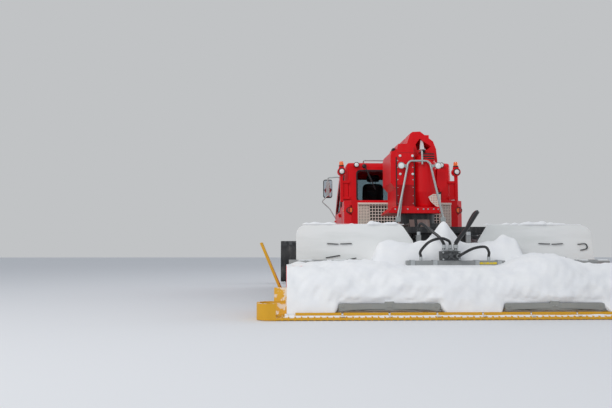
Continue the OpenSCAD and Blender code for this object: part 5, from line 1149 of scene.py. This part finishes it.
for node in ("finisher_left", "finisher_right"):
    softened(node, comb_plastic, 0.003)

# Snow flaps: white sheets of tough plastic between the tracks and the tiller, strapped to the
# frame through slots. Broad bands across them are painted a darker grey: painted shade.
flap_plastic = Finish("flap_plastic")
# Broad bands across the sheets where the white is darkened to grey: painted shade
painted_shade_bands, crust = flap_plastic.noise(1.6, 5, (0.4, 1, 2.2)), flap_plastic.noise(16, 6)
flap_plastic.set(
    base_color=flap_plastic.mix(flap_plastic.rise(painted_shade_bands, 0.42, 0.72) * 0.6, (0.88, 0.89, 0.88),
                                (0.66, 0.68, 0.66)),
    roughness=crust * 0.2 + 0.45)
flap_plastic.relief(crust, 0.0012)
softened("snow_flaps", flap_plastic, 0.004)


def flap_y(z):
    """The rear face of the flaps at a height, from the sheet's folded section."""
    return np.interp(z, [0.56, 0.70, 0.90, 1.27], [-3.64, -3.56, -3.50, -3.46])


straps = []
for side in (-1, 1):
    for x0, x1, z0, z1 in ((1.62, 1.79, 0.965, 0.975), (1.42, 1.59, 0.975, 0.970), (1.60, 1.81, 0.80, 0.765),
                           (1.36, 1.57, 0.760, 0.720)):
        ends = np.array([(side * x0, z0), (side * (x0 + x1) / 2, (z0 + z1) / 2), (side * x1, z1)])
        line = np.column_stack([ends[:, 0], flap_y(ends[:, 1]) - 0.006, ends[:, 1]])
        straps.append(carried(line, oblong(-0.005, 0.005, -0.016, 0.016, 0.003), (0, 1, 0)))
hook = eased([(2.02, 0, 0.965), (2.15, 0, 0.98), (2.17, 0, 0.90), (2.05, 0, 0.875)], 0.07, 8)
hook[:, 1] = flap_y(hook[:, 2]) - 0.007
straps.append(carried(hook, oblong(-0.005, 0.005, -0.014, 0.014, 0.003), (0, 1, 0)))
piece("flap_straps", straps, gasket_rubber, like="snow_flaps", slot="hose_rubber")

# Snow that the machine carries: packed over the hood down to the press bars, heaped behind the
# beam and against the flaps, thin on the comb. It has no solid of its own and lies on what it covers.
snow = Finish("packed_snow")
SNOW_CRISP = math.radians(80)
lumps, crystals = snow.noise(5, 6), snow.noise(90, 3)
snow.set(base_color=snow.mix(snow.rise(lumps, 0.3, 0.7), (0.91, 0.92, 0.94), (0.96, 0.965, 0.97)),
         roughness=0.85)
snow.relief(crystals * 0.15 + lumps, 0.005)


def waves(u, v, seed, sizes, amounts):
    """Smooth hills: for each size and amount, five sines at random angles over u and v."""
    draw = np.random.default_rng(seed)
    total = np.zeros(np.broadcast(u, v).shape)
    for size, amount in zip(sizes, amounts):
        for _ in range(5):
            a, p = draw.uniform(0, 2 * math.pi, 2)
            total += amount / 5 ** 0.5 * np.sin((u * math.cos(a) + v * math.sin(a)) / size * 2 * math.pi + p)
    return total


def ramp(value, start, length):
    """(value - start) / length, held between 0 and 1."""
    return np.clip((value - start) / length, 0, 1)


def s_curve(t):
    """3 t^2 - 2 t^3."""
    return t * t * (3 - 2 * t)


def smooth_table(x, xs, values):
    """Values between given places, each stretch an S-curve: v0 + (v1 - v0) (3 t^2 - 2 t^3)."""
    i = np.clip(np.searchsorted(xs, x) - 1, 0, len(xs) - 2)
    return values[i] + (values[i + 1] - values[i]) * s_curve(ramp(x, xs[i], xs[i + 1] - xs[i]))


def bell_table(x, xs, values, width):
    """The mean of smooth_table round each place, under a bell exp(-(d / width)^2)."""
    steps = np.linspace(-2, 2, 17)
    shares = bell(steps, 1)
    total = sum(share * smooth_table(x + width * step, xs, values) for step, share in zip(steps, shares))
    return total / shares.sum()


def sheet(x, y, z):
    """A grid of points."""
    return np.stack(np.broadcast_arrays(x, y, z), -1)


def between(top, base):
    """A closed body between two sheets of points on the same grid."""
    rows, cols = top.shape[:2]
    cells, skin = rows * cols, grid_faces(rows, cols)
    i, j = np.arange(rows) * cols, np.arange(cols)
    rims = [(i, i + cells), (i + cols - 1, i + cols - 1 + cells), (j, j + cells),
            (j + cells - cols, j + 2 * cells - cols)]
    walls = [np.stack([a[:-1], a[1:], b[1:], b[:-1]], -1) for a, b in rims]
    faces = np.concatenate([skin, skin[:, ::-1] + cells, *walls])
    return np.concatenate([top.reshape(-1, 3), base.reshape(-1, 3)]), faces.tolist()


# Over the hood: a run of points (y, z) from the comb up the back and forward to the flaps, its
# height along the machine's width, and its lower rim, which stops on top of the press bars
UP_TOP, SNOW_HALF = 0.69, 2.40
UP = np.array([(-4.70, 0.185), (-4.715, 0.27), (-4.67, 0.42), (-4.56, 0.555), (-4.42, 0.645), (-4.25, 0.685),
               (-4.06, UP_TOP), (-3.86, UP_TOP), (-3.66, 0.68)])
UNDER = np.array([(-4.64, 0.060), (-4.61, 0.11), (-4.53, 0.25), (-4.45, 0.40), (-4.385, 0.53), (-4.24, 0.640),
                  (-4.04, 0.645), (-3.86, 0.645), (-3.67, 0.63)])
CREST = np.array([(-2.40, 0.672), (-2.20, 0.70), (-2.02, 0.72), (-1.85, 0.69), (-1.5, 0.70), (-1.1, 0.71),
                  (-0.90, 0.70), (-0.72, 0.664), (0.60, 0.664), (0.80, 0.75), (1.0, 0.80), (1.24, 0.82),
                  (1.45, 0.785), (1.64, 0.72), (1.9, 0.685), (2.15, 0.68), (2.40, 0.668)]).T
RIM = np.array([(-2.40, 0.07, -4.82), (-1.80, 0.075, -4.80), (-1.71, 0.192, -4.703), (-0.44, 0.192, -4.703),
                (-0.34, 0.08, -4.80), (0.34, 0.08, -4.80), (0.44, 0.192, -4.703), (1.71, 0.192, -4.703),
                (1.80, 0.075, -4.80), (2.40, 0.07, -4.82)]).T
x = np.linspace(0.005 - SNOW_HALF, SNOW_HALF - 0.005, 260)[:, None]
t = np.linspace(0, 1, 64)[None, :]
knots = np.linspace(0, 1, len(UP))
fine_t = np.linspace(0, 1, 400)
blur = bell(np.linspace(-2.2, 2.2, 45), 1)
padded = (np.pad(np.interp(fine_t, knots, run), 22, "reflect", reflect_type="odd") for run in UP.T)
y, z = (np.interp(t, fine_t, np.convolve(run, blur / blur.sum(), "valid")) + 0 * x for run in padded)
lift = bell_table(x, *CREST, 0.06) - UP_TOP
z = z + lift * s_curve(ramp(t, 0.30, 0.35))
y = y - 0.6 * np.maximum(lift, 0) * bell(t - 0.45, 0.2)
low = (1 - ramp(t, 0, 0.22)) ** 2
z = z + (smooth_table(x, RIM[0], RIM[1]) - UP[0, 1]) * low
y = y + (smooth_table(x, RIM[0], RIM[2]) - UP[0, 0]) * low
calm = ramp(t, 0, 0.12) * ramp(SNOW_HALF - np.abs(x), 0, 0.12)
under_beam = np.exp(-(((x + 0.06) / 0.72) ** 6)) * ramp(t, 0.50, 0.12)
hill = waves(x, 1.6 * t, 11, (1.3, 0.55, 0.24, 0.11), (0.022, 0.014, 0.007, 0.0025))
hill = hill * calm * (1 - under_beam)
face = ramp(t, 0.25, 0.4)
y, z = y - hill * (1 - 0.8 * face), z + hill * (0.25 + 0.75 * face)
over_hood = between(sheet(x, y, z), sheet(x, *(np.interp(t, knots, run) for run in UNDER.T)))

# Behind the beam: heaps between the flaps, drawn as a height over (x, y) with its crest at HEAP_Y
HEAP_Y, HEAP_FOOT = -3.62, 0.652
HEAP = np.array([(-1.20, 0.66), (-1.02, 0.98), (-0.80, 1.03), (-0.52, 0.99), (-0.34, 1.01), (-0.24, 1.12),
                 (-0.08, 1.34), (0.06, 1.16), (0.18, 1.00), (0.40, 0.97), (0.62, 1.00), (0.84, 1.13),
                 (0.99, 1.06), (1.14, 0.66)]).T
x = np.linspace(-1.16, 1.10, 130)[:, None]
y = np.linspace(-3.895, -3.47, 30)[None, :]
shape = np.where(y < HEAP_Y, np.cos(ramp(HEAP_Y - y, 0, 0.275) * math.pi / 2) ** 0.8,
                 np.cos(ramp(y - HEAP_Y, 0, 0.15) * math.pi / 2) ** 0.6)
height = (bell_table(x, *HEAP, 0.045) - 0.655) * shape
height = height * (1 + waves(x, y, 4, (0.5, 0.2), (0.04, 0.02)) * ramp(height, 0, 0.1))
behind_beam = between(sheet(x, y, HEAP_FOOT + height), sheet(x, y, HEAP_FOOT - 0.006))
piece("snow_on_hood", [over_hood, behind_beam], snow, like="tiller_hood", slot="flap_plastic",
      crisp=SNOW_CRISP)

# On the comb: a thin sheet from the bars to the ridge, a strip behind it, and lumps along the flaps' tops
sheets = []
x, s = np.linspace(-2.42, 2.52, 300)[:, None], np.linspace(0, 1, 9)[None, :]
for y0, y1, z0, z1, seed in ((-4.735, -4.845, 0.078, 0.070, 21), (-4.880, -4.928, 0.064, 0.058, 22)):
    swell = np.sin(s * math.pi) ** 0.5 * 0.008 * np.clip(1 + waves(x, s, seed, (0.9, 0.3), (0.4, 0.3)), 0.1,
                                                         1.9)
    y, z = y0 + (y1 - y0) * s, z0 + (z1 - z0) * s
    sheets.append(between(sheet(x, y, z - 0.014 + swell), sheet(x, y, z - 0.022)))
piece("snow_on_comb", sheets, snow, like="comb_mat", slot="flap_plastic", crisp=SNOW_CRISP)
rolls = []
turn = np.linspace(0, math.pi, 11)[None, :]
for x0, x1, seed in ((-2.16, -0.62, 31), (0.56, 2.10, 32)):
    x = np.linspace(x0, x1, 160)[:, None]
    ends = ramp(np.minimum(x - x0, x1 - x), 0, 0.08) ** 0.5
    hill = waves(x, 0, seed, (0.9, 0.3, 0.11), (0.55, 0.45, 0.25))
    thick = 0.006 + 0.030 * ends * np.clip(0.35 + hill, 0, 1.6)
    y = -3.452 + 0.7 * thick * np.cos(turn)
    rolls.append(between(sheet(x, y, 1.264 + thick * np.sin(turn)), sheet(x, y, 1.262)))
piece("snow_on_flaps", rolls, snow, like="snow_flaps", crisp=SNOW_CRISP)

# Bring every placement in the scene up to date
bpy.context.view_layer.update()
